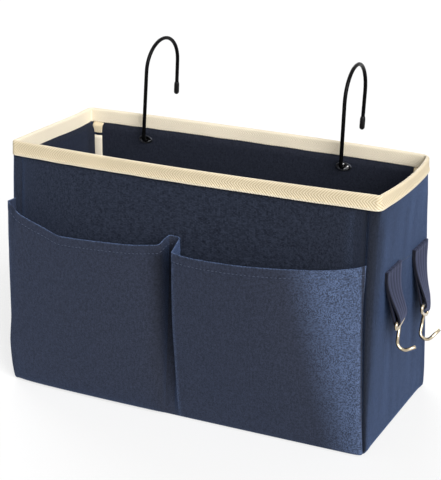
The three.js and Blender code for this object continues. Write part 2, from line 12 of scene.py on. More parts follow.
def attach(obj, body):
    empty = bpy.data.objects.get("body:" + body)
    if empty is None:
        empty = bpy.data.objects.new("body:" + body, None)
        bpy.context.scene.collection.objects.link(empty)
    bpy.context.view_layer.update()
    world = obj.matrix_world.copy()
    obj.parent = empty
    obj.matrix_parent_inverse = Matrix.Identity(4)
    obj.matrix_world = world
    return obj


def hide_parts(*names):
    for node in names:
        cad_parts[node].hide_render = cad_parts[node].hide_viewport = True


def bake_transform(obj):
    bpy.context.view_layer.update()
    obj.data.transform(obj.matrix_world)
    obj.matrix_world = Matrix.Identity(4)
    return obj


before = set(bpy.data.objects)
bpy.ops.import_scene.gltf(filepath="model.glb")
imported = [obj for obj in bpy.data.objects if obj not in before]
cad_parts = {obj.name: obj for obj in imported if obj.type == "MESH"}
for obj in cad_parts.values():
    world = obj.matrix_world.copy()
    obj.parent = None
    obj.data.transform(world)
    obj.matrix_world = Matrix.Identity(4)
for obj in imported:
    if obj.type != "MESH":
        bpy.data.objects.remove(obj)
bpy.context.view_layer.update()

MM = 0.001

# Box, outside the canvas
HALF_WIDTH = 166.0
HALF_RIM_DEPTH = 59.0
HEIGHT = 214.6
SPLAY = 16.0 / 214.6
CORNER = 5.0

# Layers
CANVAS = 1.0
LINING = 0.8
TAPE = 0.8
LAYER_GAP = 0.3
WALL = 4.4
LINING_FLOOR = 4.9
WALL_TOP = 213.4

# Rim tape: the boards end below it, so that it folds over canvas and lining alone
TAPE_OUTSIDE = 12.0
TAPE_INSIDE = 12.0
TAPE_OUT = 0.9
TAPE_FLARE = 0.8
TAPE_EDGE = 5.0
TAPE_LOWER_AT_LEFT = 1.5
FRONT_CREASE = 1.4
BACK_CREASE = 0.9
BOARD = 2.0
BOARD_TOP = 199.0
RIM_WALL = 1.9

# How the standing box has given way at its rim: the front and right walls bow out, the back leans back
FRONT_BOW = 5.0
RIGHT_BOW = 5.0
BACK_LEAN = 4.5
BACK_BOW = 2.0
BACK_RISE = 2.0
BACK_PULL = 2.2
BACK_RIGHT_ROUND = 1.8
FRONT_LEFT_RISE = 1.5
# Towards the right the lean and the rise of the back lose these shares, and its pull keeps this one
LEAN_LOSS = 0.6
RISE_LOSS = 0.8
PULL_KEPT = 0.25

# Seams at the corners of the box: on the front they drift outwards towards the base
SEAM_TOP_X = 156.6
SEAM_DRIFT = 9.2
SEAM_DRIFT_POWER = 2.2
SEAM_VALLEY = 0.5
SEAM_VALLEY_WIDTH = 1.7
SEAM_SHOULDER = 1.3
SEAM_SHOULDER_WIDTH = 7.0
SLIGHT_SEAM = 0.3
LEFT_EDGE_OUT = 1.5
RIGHT_EDGE_IN = 1.8
RIGHT_EDGE_WIDTH = 5.5

# How cloth lies: its swell over the boards, and where it dies away under the tape and at the base
CANVAS_SWELL = 0.25
LINING_SWELL = 0.25
SIDE_RIPPLE = 0.5
SWELL_FADE = 20.0
FOOT_ROLL = 3.0

# Shares of the canvas's tone: painted shade along the seams and over the whole right panel, a painted shadow
# under the tape's edge, and a band of the front made paler beside its right seam
SEAM_VALLEY_SHADE = 0.6
NARROW_SHADE_WIDTH = 1.6
SEAM_SHADE = 0.25
SEAM_SHADE_WIDTH = 8.0
TAPE_SHADE = 0.7
SIDE_SHADE = 0.2
FRONT_PALER = 0.07
FRONT_PALER_FROM_SEAM = 9.0
FRONT_PALER_WIDTH = 6.0

# Pockets: one strip with a pleat at the left of each pocket
FOOT_BOW = 3.0
POCKET_FOOT = 0.6
POCKET_HEIGHT = 157.0
POCKET_END_X = 158.0
POCKET_END_RUN = 38.0
POCKET_LEFT_LIMIT = 162.4
POCKET_UNEVEN = 0.5
LEFT_END_SINK = 0.6
HEM_WIDTH = 8.0
HEM_STEP = 0.45
LEFT_POCKET = {
    "start_x": -163.0, "end_x": -10.8, "start_height": 166.0, "fold_shift": 0.0, "flat_width": 2.5,
    "fold_depth": 11.0, "end_depth": 14.0, "bulge": 3.5, "fullness": 0.5, "end_turn": 130.0,
    "hem": [
        (0, 166.6), (0.02, 164.6), (0.08, 157.7), (0.26, 149.5), (0.345, 145.6), (0.43, 145.8),
        (0.627, 147.2), (0.813, 149.0), (0.938, 151.6), (0.982, 153.0), (0.994, 156.2), (1, 157.4),
    ],
}
RIGHT_POCKET = {
    "start_x": -2.2, "end_x": 158.0, "start_height": 156.6, "fold_shift": 3.8, "flat_width": 4.6,
    "fold_depth": 21.8, "end_depth": 22.3, "bulge": 4.0, "fullness": 1.0, "end_turn": 4.5,
    "hem": [
        (0, 151.6), (0.03, 150.9), (0.08, 150.2), (0.18, 150.2), (0.35, 151.2), (0.51, 152.8),
        (0.67, 154.4), (0.8, 155.0), (0.9, 156.0), (1, 158.6),
    ],
}

# Tapes in the inside corners, and the tabs above them
CORNER_TAPE_WIDTH = 9.0
CORNER_TAPE_TOP = 190.9
TAB_FOOT = 193.3
TAB_WIDTH = 9.6
TAB_SPREAD = 0.8
TAB_SHIFT = 0.8

# Stitches: their pitch, length and radius
HEM_STITCH = (3.6, 2.3, 0.3)
RIM_STITCH = (3.4, 2.4, 0.32)
STRAP_STITCH = (3.4, 2.4, 0.35)

# Eyelets and the hooks that hang in them
WALL_TILT = math.atan(SPLAY)
EYELET_Y = 58.194
EYELET_HEIGHT = 195.9
EYELET_BORE = 4.25
EYELET_HOLE = 5.15
PLATE_DEPTH = 0.8
HOOK_WIRE = 1.7
HOOK_BEND = 4.0
HOOK_STOP_Y = 12.6
HOOK_STOP_RISE = 9.0
CAP_RADIUS = 2.4
CAP_FOOT = -4.3
HOOKS = {
    "left": {
        "x": -103.0, "eyelet_x": -104.5, "oval": Vector((1.1, 0.63)), "play": 0.4, "slack": 0.6,
        "drop": 2.16, "leg_y": -3.6, "arch": 26.0,
        "rise": 88.6, "lean": 4.0, "turn": 3.9, "reach": 53.5, "inward": -1.0,
    },
    "right": {
        "x": 90.0, "eyelet_x": 90.0, "oval": Vector((1.15, 0.64)), "play": 1.0, "slack": 1.35,
        "drop": 0.75, "leg_y": -6.6, "arch": 27.5,
        "rise": 83.2, "lean": 1.8, "turn": -2.7, "reach": 59.0, "inward": 2.0,
    },
}

# Webbing loops and their wire hooks
STRAP_WIDTH = 33.0
STRAP_THICKNESS = 1.4
STRAP_SEWN = 6.0
STRAP_TAIL = 1.2
STRAP_SEAM = -1.8
STRAP_FOLD_OUT = 7.5
STRAP_FOLD_RADIUS = 3.0
STRAP_FOLD_TURN = 10.0
STRAP_HINGE_X = 167.7
SNAP_WIRE = 1.4
SNAP_BEND = 2.6
SNAP_HALF_BAR = 19.0
SNAP_SIDE_DROP = 4.6
SNAP_BAIL_DROP = 6.0
STRAPS = {
    "front": {
        "y": -27.0, "hinge_z": 145.6, "length": 41.5, "tilt": 9.0, "pinch": 0.0,
        "slide": 0.8, "hang": 3.0, "shank": 13.4, "curve": 6.2, "sweep": 118.5, "tip": 7.2,
    },
    "rear": {
        "y": 39.0, "hinge_z": 142.3, "length": 54.0, "tilt": 26.0, "pinch": 9.0,
        "slide": -4.5, "hang": 4.6, "shank": 14.8, "curve": 5.4, "sweep": 144.5, "tip": 10.4,
    },
}


# Materials

def linear(hex_code):
    """An sRGB colour such as "#2b3346" as linear red, green, blue and alpha."""
    channels = [int(hex_code[i:i + 2], 16) / 255 for i in (1, 3, 5)]
    return [c / 12.92 if c <= 0.04045 else ((c + 0.055) / 1.055) ** 2.4 for c in channels] + [1.0]


def feed(node, inputs):
    """Sets a node's inputs: a node or a socket is linked, anything else is the socket's own value."""
    for name, value in inputs.items():
        if isinstance(value, bpy.types.Node):
            value = value.outputs[0]
        if isinstance(value, bpy.types.NodeSocket):
            node.id_data.links.new(value, node.inputs[name])
        else:
            node.inputs[name].default_value = value


def add_node(tree, kind, inputs=None, **settings):
    """Adds one node of a kind with its settings and its inputs."""
    node = tree.nodes.new("ShaderNode" + kind)
    for name, value in settings.items():
        setattr(node, name, value)
    feed(node, inputs or {})
    return node


def new_material(name):
    """A material, the way to add nodes to it, and its surface shader."""
    material = bpy.data.materials.new(name)
    material.use_nodes = True
    tree = material.node_tree
    return material, partial(add_node, tree), tree.nodes["Principled BSDF"]


def plain_weave(name, dark, light, paling_colour, thread, mottle, gleam):
    """Cloth woven one over one under: thread is the spacing of its yarns in mm.

    The eye sees a fine checker of warp and weft, single crossings that catch the light, long streaks where a
    warp yarn runs thick or thin, painted shade in seams, folds and under the tape, paler edges, painted light
    that makes some faces paler, and a bluish bloom where the cloth is seen aslant.
    """
    slub = 9.0
    cloud_size = 2.4
    material, add, surface = new_material(name)
    flat = add("UVMap", uv_map="flat")
    turns = add("VectorMath", {0: flat, "Scale": math.pi / (thread * MM)}, operation="SCALE")
    waves = add("VectorMath", {0: turns}, operation="SINE")
    split = add("SeparateXYZ", {0: waves}).outputs
    warp = add("Math", {0: split["X"]}, operation="ABSOLUTE")
    weft = add("Math", {0: split["Y"]}, operation="ABSOLUTE")
    checker = add("Math", {0: split["X"], 1: split["Y"]}, operation="MULTIPLY")
    over = add("Math", {0: checker, 1: 0.5, 2: 0.5}, operation="MULTIPLY_ADD")
    relief = add("Mix", {0: over, 2: weft, 3: warp})

    along_warp = add("Mapping", {0: flat, "Scale": (1 / (2 * thread * MM), 1 / (slub * MM), 1)})
    streak = add("TexNoise", {"Vector": along_warp, "Scale": 1.0, "Detail": 2.0})
    cloud = add("TexNoise", {"Vector": flat, "Scale": 1 / (cloud_size * MM), "Detail": 2.0})
    counted = add("VectorMath", {0: flat, "Scale": 1 / (thread * MM)}, operation="SCALE")
    crossing_spot = add("VectorMath", {0: counted}, operation="FLOOR")
    crossing = add("TexWhiteNoise", {"Vector": crossing_spot}, noise_dimensions="2D").outputs["Value"]
    patches = add("Mix", {0: 0.6, 2: streak, 3: cloud})
    spread = add("MapRange", {0: patches, 1: 0.35, 2: 0.65, 3: -0.9 * mottle, 4: 0.3 * mottle})
    grain = add("Math", {0: crossing, 1: 1.6 * mottle, 2: spread}, operation="MULTIPLY_ADD")
    tone = add("Math", {0: relief, 1: 0.5, 2: grain}, operation="MULTIPLY_ADD")
    cloth = add("Mix", {0: tone, 6: linear(dark), 7: linear(light)}, data_type="RGBA")

    # The attribute read here pales the cloth where it is above 0, for paler edges and for painted light, and
    # darkens it as painted shade where it is below 0
    wear_and_painted_light = add("Attribute", attribute_name="wear_and_painted_light_share").outputs["Fac"]
    broken = add("MapRange", {0: crossing, 3: 0.2, 4: 1.8})
    wear_and_painted_light_paling = add("Math", {0: wear_and_painted_light, 1: broken}, operation="MULTIPLY")
    wear_and_painted_light_tone = add("Mix", {0: wear_and_painted_light_paling, 6: cloth.outputs[2], 7: linear(paling_colour)}, data_type="RGBA")
    # Painted shade: the attribute's share below 0 darkens the colour
    painted_shade = add("MapRange", {0: wear_and_painted_light, 1: -1.0, 2: 0.0, 3: 0.15, 4: 1.0})
    height = add("Math", {0: streak, 1: 0.8, 2: relief}, operation="MULTIPLY_ADD")
    feed(surface, {
        "Base Color": add("VectorMath", {0: wear_and_painted_light_tone.outputs[2], "Scale": painted_shade}, operation="SCALE"),
        "Roughness": 0.75,
        "Specular IOR Level": 0.12,
        "Sheen Weight": gleam,
        "Sheen Roughness": 0.45,
        "Sheen Tint": linear("#8fb6ff"),
        "Normal": add("Bump", {"Strength": 0.6, "Distance": 0.25 * MM, "Height": height}),
    })
    return material


def herringbone_tape():
    """Cotton herringbone tape: twill ridges that turn back on themselves at each chevron.

    The eye sees slanted cream ridges with shaded furrows, a paler selvedge along both edges, painted light
    that makes the inner half of the rim tape paler, and an uneven, unbleached tone.
    """
    band = 6.3
    pitch = 2.45
    waver_size = 9.0
    waver_reach = 0.9
    fibre_size = 0.9
    patch_size = 60.0
    material, add, surface = new_material("cream_cotton_herringbone")
    flat = add("UVMap", uv_map="flat")
    split = add("SeparateXYZ", {0: flat}).outputs
    chevron = add("Math", {0: split["Y"], 1: band * MM}, operation="PINGPONG")
    slant = add("Math", {0: split["X"], 1: chevron}, operation="ADD")
    waver = add("TexNoise", {"Vector": flat, "Scale": 1 / (waver_size * MM), "Detail": 1.0})
    wavered = add("Math", {0: waver, 1: waver_reach * MM, 2: slant}, operation="MULTIPLY_ADD")
    turn = add("Math", {0: wavered, 1: 2 * math.pi / (pitch * MM)}, operation="MULTIPLY")
    wave = add("Math", {0: turn}, operation="SINE")
    ridge = add("MapRange", {0: wave, 1: -1.0, 2: 0.5}, interpolation_type="SMOOTHSTEP")
    fibre = add("TexNoise", {"Vector": flat, "Scale": 1 / (fibre_size * MM), "Detail": 3.0})
    tone = add("Mix", {0: 0.3, 2: ridge, 3: fibre})
    twill = add("Mix", {0: tone, 6: linear("#c5b087"), 7: linear("#efe1c4")}, data_type="RGBA")
    # The attribute read here pales the tape towards the selvedge colour: along the real selvedges, over the
    # whiter corner tapes, and as painted light over the rim tape's inner half
    edge = add("Attribute", attribute_name="wear_and_painted_light_share").outputs["Fac"]
    selvedge = add("Mix", {0: edge, 6: twill.outputs[2], 7: linear("#fff5e0")}, data_type="RGBA")
    place = add("TexCoord").outputs["Object"]
    patch = add("TexNoise", {"Vector": place, "Scale": 1 / (patch_size * MM), "Detail": 2.0})
    aged = add("MapRange", {0: patch, 1: 0.35, 2: 0.65, 3: 0.93, 4: 1.04})
    height = add("Math", {0: fibre, 1: 0.35, 2: ridge}, operation="MULTIPLY_ADD")
    feed(surface, {
        "Base Color": add("VectorMath", {0: selvedge.outputs[2], "Scale": aged}, operation="SCALE"),
        "Roughness": 0.88,
        "Specular IOR Level": 0.25,
        "Sheen Weight": 0.15,
        "Normal": add("Bump", {"Strength": 0.7, "Distance": 0.3 * MM, "Height": height}),
    })
    return material


def ribbed_webbing():
    """Woven polypropylene webbing: lengthwise ribs crossed by tight picks of weft.

    The eye sees five rounded ribs down the strap, a fine cross grain and a slightly waxy sheen.
    """
    rib = STRAP_WIDTH / 5
    pick = 1.5
    yarn_size = (0.9, 9.0)
    material, add, surface = new_material("charcoal_ribbed_webbing")
    flat = add("UVMap", uv_map="flat")
    turns = (math.pi / (rib * MM), math.pi / (pick * MM), 0)
    steps = add("VectorMath", {0: flat, 1: turns}, operation="MULTIPLY")
    waves = add("VectorMath", {0: steps}, operation="SINE")
    size = add("VectorMath", {0: waves}, operation="ABSOLUTE")
    split = add("SeparateXYZ", {0: size}).outputs
    crown = add("Math", {0: split["X"], 1: 0.5}, operation="POWER")
    grain = add("Math", {0: split["Y"], 1: 0.3, 2: crown}, operation="MULTIPLY_ADD")
    yarn_map = add("Mapping", {0: flat, "Scale": (1 / (yarn_size[0] * MM), 1 / (yarn_size[1] * MM), 1)})
    yarn = add("TexNoise", {"Vector": yarn_map, "Scale": 1.0, "Detail": 2.0})
    tone = add("Math", {0: grain, 1: yarn}, operation="MULTIPLY")
    shade = add("MapRange", {0: tone, 1: 0.15, 2: 0.8})
    colour = add("Mix", {0: shade, 6: linear("#13141d"), 7: linear("#34384c")}, data_type="RGBA")
    feed(surface, {
        "Base Color": colour.outputs[2],
        "Roughness": 0.75,
        "Specular IOR Level": 0.15,
        "Sheen Weight": 0.2,
        "Sheen Roughness": 0.45,
        "Sheen Tint": linear("#a6b4f0"),
        "Normal": add("Bump", {"Strength": 0.8, "Distance": 0.5 * MM, "Height": grain}),
    })
    return material


def grained(name, dark, light, grain, polish, relief, shader):
    """A hard material: its tone and its roughness follow one grain and its relief follows another.

    grain and relief give a noise's size in mm along x, y and z and its detail, and relief goes on with how
    strong and how deep in mm it is. polish gives two levels of the grain and the roughness at each.
    """
    material, add, surface = new_material(name)
    place = add("TexCoord").outputs["Object"]
    noises = []
    for sizes, detail in (grain, relief[:2]):
        spread = add("Mapping", {0: place, "Scale": [1 / (size * MM) for size in sizes]})
        noises.append(add("TexNoise", {"Vector": spread, "Scale": 1.0, "Detail": detail}))
    colour = add("Mix", {0: noises[0], 6: linear(dark), 7: linear(light)}, data_type="RGBA")
    feed(surface, {
        "Base Color": colour.outputs[2],
        "Roughness": add("MapRange", {0: noises[0], **dict(enumerate(polish, 1))}),
        "Normal": add("Bump", {"Strength": relief[2], "Distance": relief[3] * MM, "Height": noises[1]}),
        **shader,
    })
    return material


def plated_metal(name, dark, light, smooth, rough):
    """Plated metal: bright reflections broken by fine handling scratches and small dull patches."""
    scratches = ((0.4, 6.0, 0.4), 2.0, 0.12, 0.05)
    return grained(
        name, dark, light, ((3.0, 3.0, 3.0), 4.0), (0.35, 0.7, smooth, rough), scratches, {"Metallic": 1.0}
    )


def sewing_thread(name, dark, light):
    """Twisted polyester thread: each stitch shows a diagonal twist and a soft shine."""
    twist_size = 0.6
    material, add, surface = new_material(name)
    place = add("TexCoord").outputs["Object"]
    twist = add(
        "TexWave", {"Vector": place, "Scale": 0.5 / (twist_size * MM), "Distortion": 2.0},
        bands_direction="DIAGONAL",
    ).outputs["Fac"]
    colour = add("Mix", {0: twist, 6: linear(dark), 7: linear(light)}, data_type="RGBA")
    bump = add("Bump", {"Strength": 0.3, "Distance": 0.1 * MM, "Height": twist})
    feed(surface, {"Base Color": colour.outputs[2], "Roughness": 0.6, "Normal": bump})
    return material


# Real yarns lie about 0.5 mm apart; at this picture's size they show only if drawn 0.8 mm apart.
navy_canvas = plain_weave("navy_cotton_canvas", "#0e1017", "#2d323f", "#7c95c4", 0.8, 0.44, 0.36)
# The pockets' canvas is the walls' canvas drawn paler: painted light on the pockets
pocket_canvas = plain_weave("navy_cotton_canvas_painted_lighter", "#1f222a", "#393e4f", "#7c95c4", 0.8, 0.32, 0.28)
navy_lining = plain_weave("navy_lining_cotton", "#12141b", "#2c303d", "#5d6d90", 0.7, 0.24, 0.12)
cream_tape = herringbone_tape()
charcoal_webbing = ribbed_webbing()
# A baked black coating: a wet-looking gloss over a very slight orange peel
PEEL = ((1.6, 1.6, 1.6), 1.0)
black_wire = grained(
    "gloss_black_coated_steel", "#050506", "#0c0c0d", PEEL, (0.3, 0.7, 0.2, 0.32), (*PEEL, 0.15, 0.1),
    {"Specular IOR Level": 0.06},
)
# Dipped vinyl: softer and duller than the wire's coating, with slow runs from the dipping
RUNS = ((2.0, 2.0, 7.0), 1.0)
black_vinyl = grained(
    "black_dipped_vinyl", "#070708", "#101011", RUNS, (0.3, 0.7, 0.34, 0.5), (*RUNS, 0.2, 0.15),
    {"Specular IOR Level": 0.15},
)
gunmetal = plated_metal("gunmetal_plated_steel", "#26272c", "#505258", 0.45, 0.6)
pale_gold = plated_metal("pale_gold_plated_wire", "#8f8069", "#dccfb6", 0.14, 0.3)
# Recycled greyboard: matt, with short pale and dark paper fibres pressed flat
FIBRES = ((2.5, 0.6, 0.6), 4.0)
greyboard = grained(
    "pressed_greyboard", "#6f6c66", "#a29e95", FIBRES, (0.0, 1.0, 0.92, 0.92), (*FIBRES, 0.3, 0.1), {}
)
navy_thread = sewing_thread("navy_sewing_thread", "#2c3344", "#4f5a72")
cream_thread = sewing_thread("cream_sewing_thread", "#d9cba8", "#f3ead2")


# Making and finishing pieces

def in_order(bm):
    """Sorts a mesh by place, because some tools hand back its points and faces in any order."""
    def rank(point):
        return point.x + math.sqrt(2) * point.y + math.sqrt(3) * point.z

    bm.verts.sort(key=lambda vert: rank(vert.co))
    bm.faces.sort(key=lambda face: rank(face.calc_center_median()))


def add_piece(name, bm, material, body, nodes=()):
    """Turns a mesh drawn in mm into a finished piece on a body; it stands for the CAD nodes given."""
    bmesh.ops.scale(bm, vec=(MM, MM, MM), verts=bm.verts)
    in_order(bm)
    mesh = bpy.data.meshes.new(name)
    bm.to_mesh(mesh)
    bm.free()
    mesh.shade_smooth()
    mesh.materials.append(material)
    piece = bpy.data.objects.new(name, mesh)
    bpy.context.scene.collection.objects.link(piece)
    if body:
        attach(piece, body)
    if nodes:
        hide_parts(*nodes)
    return piece


def thicken(piece, thickness, levels=0):
    """Gives a sheet its thickness inwards from its outer face, and rounds its edges."""
    solid = piece.modifiers.new("thickness", "SOLIDIFY")
    solid.thickness = thickness * MM
    solid.offset = -1
    if levels:
        rounding = piece.modifiers.new("rounding", "SUBSURF")
        rounding.levels = levels
        rounding.render_levels = levels


def cloth_grid(columns, rows, place, wear_and_painted_light=None):
    """A sheet: place(across, up), each 0 to 1, gives a point and its spot on the flat cloth, in mm."""
    bm = bmesh.new()
    flat = bm.loops.layers.uv.new("flat")
    wear_and_painted_light_tone = bm.verts.layers.float.new("wear_and_painted_light_share")
    bmesh.ops.create_grid(bm, x_segments=columns, y_segments=rows, size=0.5)
    spots = {}
    for vert in bm.verts:
        across = vert.co.x + 0.5
        up = vert.co.y + 0.5
        point, spot = place(across, up)
        vert.co = point
        spots[vert] = Vector(spot) * MM
        if wear_and_painted_light:
            vert[wear_and_painted_light_tone] = wear_and_painted_light(across, up)
    for face in bm.faces:
        for loop in face.loops:
            loop[flat].uv = spots[loop.vert]
    return bm


def spun_ring(profile, sides):
    """A turned piece about +Z from a closed profile of (radius, height)."""
    bm = bmesh.new()
    verts = [bm.verts.new((radius, 0, height)) for radius, height in profile]
    edges = [bm.edges.new((verts[i - 1], verts[i])) for i in range(1, len(verts))]
    bmesh.ops.spin(
        bm, geom=verts + edges, cent=(0, 0, 0), axis=(0, 0, 1), dvec=(0, 0, 0),
        angle=2 * math.pi, steps=sides, use_merge=True,
    )
    bmesh.ops.remove_doubles(bm, verts=bm.verts, dist=0.001)
    bmesh.ops.recalc_face_normals(bm, faces=bm.faces)
    return bm


def bent_wire(start, facing, radius, moves, sides=20):
    """Round wire drawn from a ring: a move is ("straight", vector) or ("bend", centre, axis, angle)."""
    bend_step = math.radians(9)
    bm = bmesh.new()
    turn = Vector((0, 0, 1)).rotation_difference(Vector(facing)).to_matrix().to_4x4()
    ring = bmesh.ops.create_circle(
        bm, cap_ends=False, segments=sides, radius=radius, matrix=Matrix.Translation(start) @ turn
    )
    edges = list(dict.fromkeys(edge for vert in ring["verts"] for edge in vert.link_edges))
    for move in moves:
        if move[0] == "straight":
            grown = bmesh.ops.extrude_edge_only(bm, edges=edges)["geom"]
            verts = [item for item in grown if isinstance(item, bmesh.types.BMVert)]
            bmesh.ops.translate(bm, vec=move[1], verts=verts)
            edges = [item for item in grown if isinstance(item, bmesh.types.BMEdge)
                     and item.verts[0] in verts and item.verts[1] in verts]
        else:
            steps = max(3, round(abs(move[3]) / bend_step))
            swept = bmesh.ops.spin(
                bm, geom=edges, cent=move[1], axis=move[2], dvec=(0, 0, 0), angle=move[3], steps=steps
            )
            edges = [item for item in swept["geom_last"] if isinstance(item, bmesh.types.BMEdge)]
    bmesh.ops.holes_fill(bm, edges=[edge for edge in bm.edges if edge.is_boundary], sides=0)
    bmesh.ops.recalc_face_normals(bm, faces=bm.faces)
    return bm


def join_into(bm, other):
    """Adds a second mesh to the first."""
    mesh = bpy.data.meshes.new("joining")
    other.to_mesh(mesh)
    other.free()
    bm.from_mesh(mesh)
    bpy.data.meshes.remove(mesh)


def path_lengths(points):
    """How far along a line of points each of them lies."""
    lengths = [0.0]
    for i in range(1, len(points)):
        lengths.append(lengths[-1] + (Vector(points[i]) - Vector(points[i - 1])).length)
    return lengths


def along_path(points, lengths, distance):
    """The point at a distance along a line of points."""
    for i in range(1, len(points)):
        if distance <= lengths[i] or i == len(points) - 1:
            span = max(lengths[i] - lengths[i - 1], 1e-9)
            return Vector(points[i - 1]).lerp(Vector(points[i]), (distance - lengths[i - 1]) / span)


def stitch_row(bm, line, outward, pitch, length, radius):
    """Sews a row of stitches along a line of points; outward(point) is the way the cloth faces there."""
    flatness = 0.7
    lengths = path_lengths(line)
    count = int(lengths[-1] / pitch)
    for i in range(count):
        middle = (i + 0.5) * lengths[-1] / count
        start = along_path(line, lengths, middle - length / 2)
        end = along_path(line, lengths, middle + length / 2)
        run = (end - start).normalized()
        up = outward((start + end) / 2)
        side = run.cross(up).normalized()
        up = side.cross(run)
        shape = Matrix((run * length / 2, side * radius, up * radius * flatness))
        place = Matrix.Translation((start + end) / 2) @ shape.transposed().to_4x4()
        bmesh.ops.create_uvsphere(bm, u_segments=6, v_segments=4, radius=1.0, matrix=place)


# Shares that shape the pieces

def unit(value):
    """A value held between 0 and 1."""
    return min(max(value, 0), 1)


def near(distance, width):
    """1 at a place, falling away smoothly over a width to both sides."""
    return math.exp(-(distance / width) ** 2)


def ease(share):
    """0 to 1 with a gentle start and end."""
    return share ** 2 * (3 - 2 * share)


def arch(along):
    """0 at both ends and 1 in the middle."""
    return 4 * along * (1 - along)


def in_corner(facing):
    """0 on a flat wall and 1 in the middle of a corner of the box."""
    return (2 * facing.x * facing.y) ** 2


# The wall's outer face, measured round the box from the middle of the front

def half_depth(z):
    """Half of the box's depth at a height."""
    return HALF_RIM_DEPTH + SPLAY * (HEIGHT - z)


def girth_marks(z):
    """Distances round one half of the box: front, corner, side, corner and back end at these."""
    front = HALF_WIDTH - CORNER
    quarter = math.pi / 2 * CORNER
    flank = 2 * (half_depth(z) - CORNER)
    marks = [0.0, front, front + quarter, front + quarter + flank]
    marks.append(marks[3] + quarter)
    marks.append(marks[4] + front)
    return marks


RIM_MARKS = girth_marks(HEIGHT)
RIM_GIRTH = RIM_MARKS[5]


def wall_frame(share, z):
    """The wall's outer face and the way it faces; share is 0 at the front's middle and 1 at the back's."""
    wrapped = (share + 1) % 2 - 1
    side = -1 if wrapped < 0 else 1
    rim_girth = abs(wrapped) * RIM_GIRTH
    marks = girth_marks(z)
    k = 0
    while k < 4 and rim_girth > RIM_MARKS[k + 1]:
        k += 1
    part = (rim_girth - RIM_MARKS[k]) / (RIM_MARKS[k + 1] - RIM_MARKS[k])
    run = part * (marks[k + 1] - marks[k])
    depth = half_depth(z)
    front = HALF_WIDTH - CORNER
    if k == 0:
        point, facing = (run, -depth), (0, -1)
    elif k == 1:
        angle = run / CORNER
        facing = (math.sin(angle), -math.cos(angle))
        point = (front + CORNER * facing[0], CORNER - depth + CORNER * facing[1])
    elif k == 2:
        point, facing = (HALF_WIDTH, CORNER - depth + run), (1, 0)
    elif k == 3:
        angle = run / CORNER
        facing = (math.cos(angle), math.sin(angle))
        point = (front + CORNER * facing[0], depth - CORNER + CORNER * facing[1])
    else:
        point, facing = (front - run, depth), (0, 1)
    return Vector((side * point[0], point[1], z)), Vector((side * facing[0], facing[1], 0))


def give(point):
    """How far the standing box has given way at a point of it."""
    lift = unit(point[2] / HEIGHT)
    along = min(max(1.1 * point[0] / HALF_WIDTH, -1), 1)
    across = min(max(point[1] / half_depth(point[2]), -1), 1)
    to_front = unit(-1.25 * across) ** 2
    to_back = min((across + 1) / 1.8, 1)
    middle = 1 - min(abs(point[0] / HALF_WIDTH), 1) ** 2
    rightward = (point[0] / HALF_WIDTH + 1) / 2
    fall = unit(rightward) ** 2
    back = (BACK_LEAN * (1 - LEAN_LOSS * fall) + BACK_BOW * middle) * to_back ** 2 * lift ** 3
    front = FRONT_BOW * middle * to_front * lift ** 6
    right = RIGHT_BOW * (1 - across ** 2) * max(along, 0) ** 2 * lift ** 6
    inward = PULL_KEPT * max(along, 0) ** 2 - max(-along, 0) ** 2
    pulled_in = BACK_PULL * inward * to_back * lift ** 3
    rise = BACK_RISE * (1 - RISE_LOSS * fall) * to_back ** 8 * lift ** 3
    rise += FRONT_LEFT_RISE * unit(1 - rightward) ** 4 * (1 - to_back ** 4) * lift ** 6
    rounded = BACK_RIGHT_ROUND * fall ** 10 * max(across, 0) ** 10 * lift ** 6
    return Vector((right - pulled_in - rounded, back - front - rounded, rise))


def settle(bm):
    """Moves a mesh of the box with the way that the box has given."""
    for vert in bm.verts:
        vert.co += give(vert.co)
    return bm


def seam_x(z):
    """How far to the side a corner seam lies at a height."""
    return SEAM_TOP_X + SEAM_DRIFT * (1 - z / HEIGHT) ** SEAM_DRIFT_POWER


def seam_girth(z):
    """The same, measured round the wall."""
    front = HALF_WIDTH - CORNER
    x = seam_x(z)
    if x <= front:
        return x
    return front + CORNER * math.asin(min((x - front) / CORNER, 1))


def seam_share(z):
    """The same, as a share of the wall's half girth."""
    return seam_girth(z) / RIM_GIRTH


def softness(point, size, seed):
    """Slow unevenness of cloth over board, -1 to 1."""
    return noise.noise(Vector((point[0] / size, point[1] / size + seed, point[2] / size)))


def canvas_out(share, z):
    """How far the canvas stands off the plain wall: soft over the board, pulled in at the corner seams."""
    wrapped = abs((share + 1) % 2 - 1)
    from_middle = min(wrapped, 1 - wrapped) * RIM_GIRTH
    from_seam = abs(from_middle - seam_girth(z))
    point, facing = wall_frame(share, z)
    swell = CANVAS_SWELL + CANVAS_SWELL * softness(point, 45, 3.0)
    if abs(facing.x) > 0.99:
        swell += SIDE_RIPPLE * noise.noise(Vector((point.y / 13, z / 90, 61 * facing.x)))
    under_tape = unit((HEIGHT - TAPE_OUTSIDE - z) / SWELL_FADE)
    out = swell * under_tape * unit(z / SWELL_FADE)
    front_left = point.x < 0 and point.y < 0
    pull = SLIGHT_SEAM if front_left else 1.0
    shoulder = SEAM_SHOULDER * under_tape * pull
    out += shoulder * near(from_seam, SEAM_SHOULDER_WIDTH)
    out -= (SEAM_VALLEY * pull + shoulder) * near(from_seam, SEAM_VALLEY_WIDTH)
    if front_left:
        out += LEFT_EDGE_OUT * in_corner(facing)
    elif point.y < 0:
        from_corner = abs(wrapped * RIM_GIRTH - (RIM_MARKS[1] + RIM_MARKS[2]) / 2)
        out -= RIGHT_EDGE_IN * under_tape * near(from_corner, RIGHT_EDGE_WIDTH)
    return out - foot_roll(z)


def foot_roll(z):
    """How far a wall's lower edge turns in towards the base."""
    if z >= FOOT_ROLL:
        return 0.0
    return FOOT_ROLL * (1 - math.sqrt(max(1 - ((FOOT_ROLL - z) / FOOT_ROLL) ** 2, 0)))


def foot_bow(x, share):
    """The front's lower edge bows out over the edge of the base, most towards the left."""
    along = math.sqrt(unit((x + POCKET_END_X) / (2 * POCKET_END_X)))
    return FOOT_BOW * arch(along) * (1 - share) ** 2


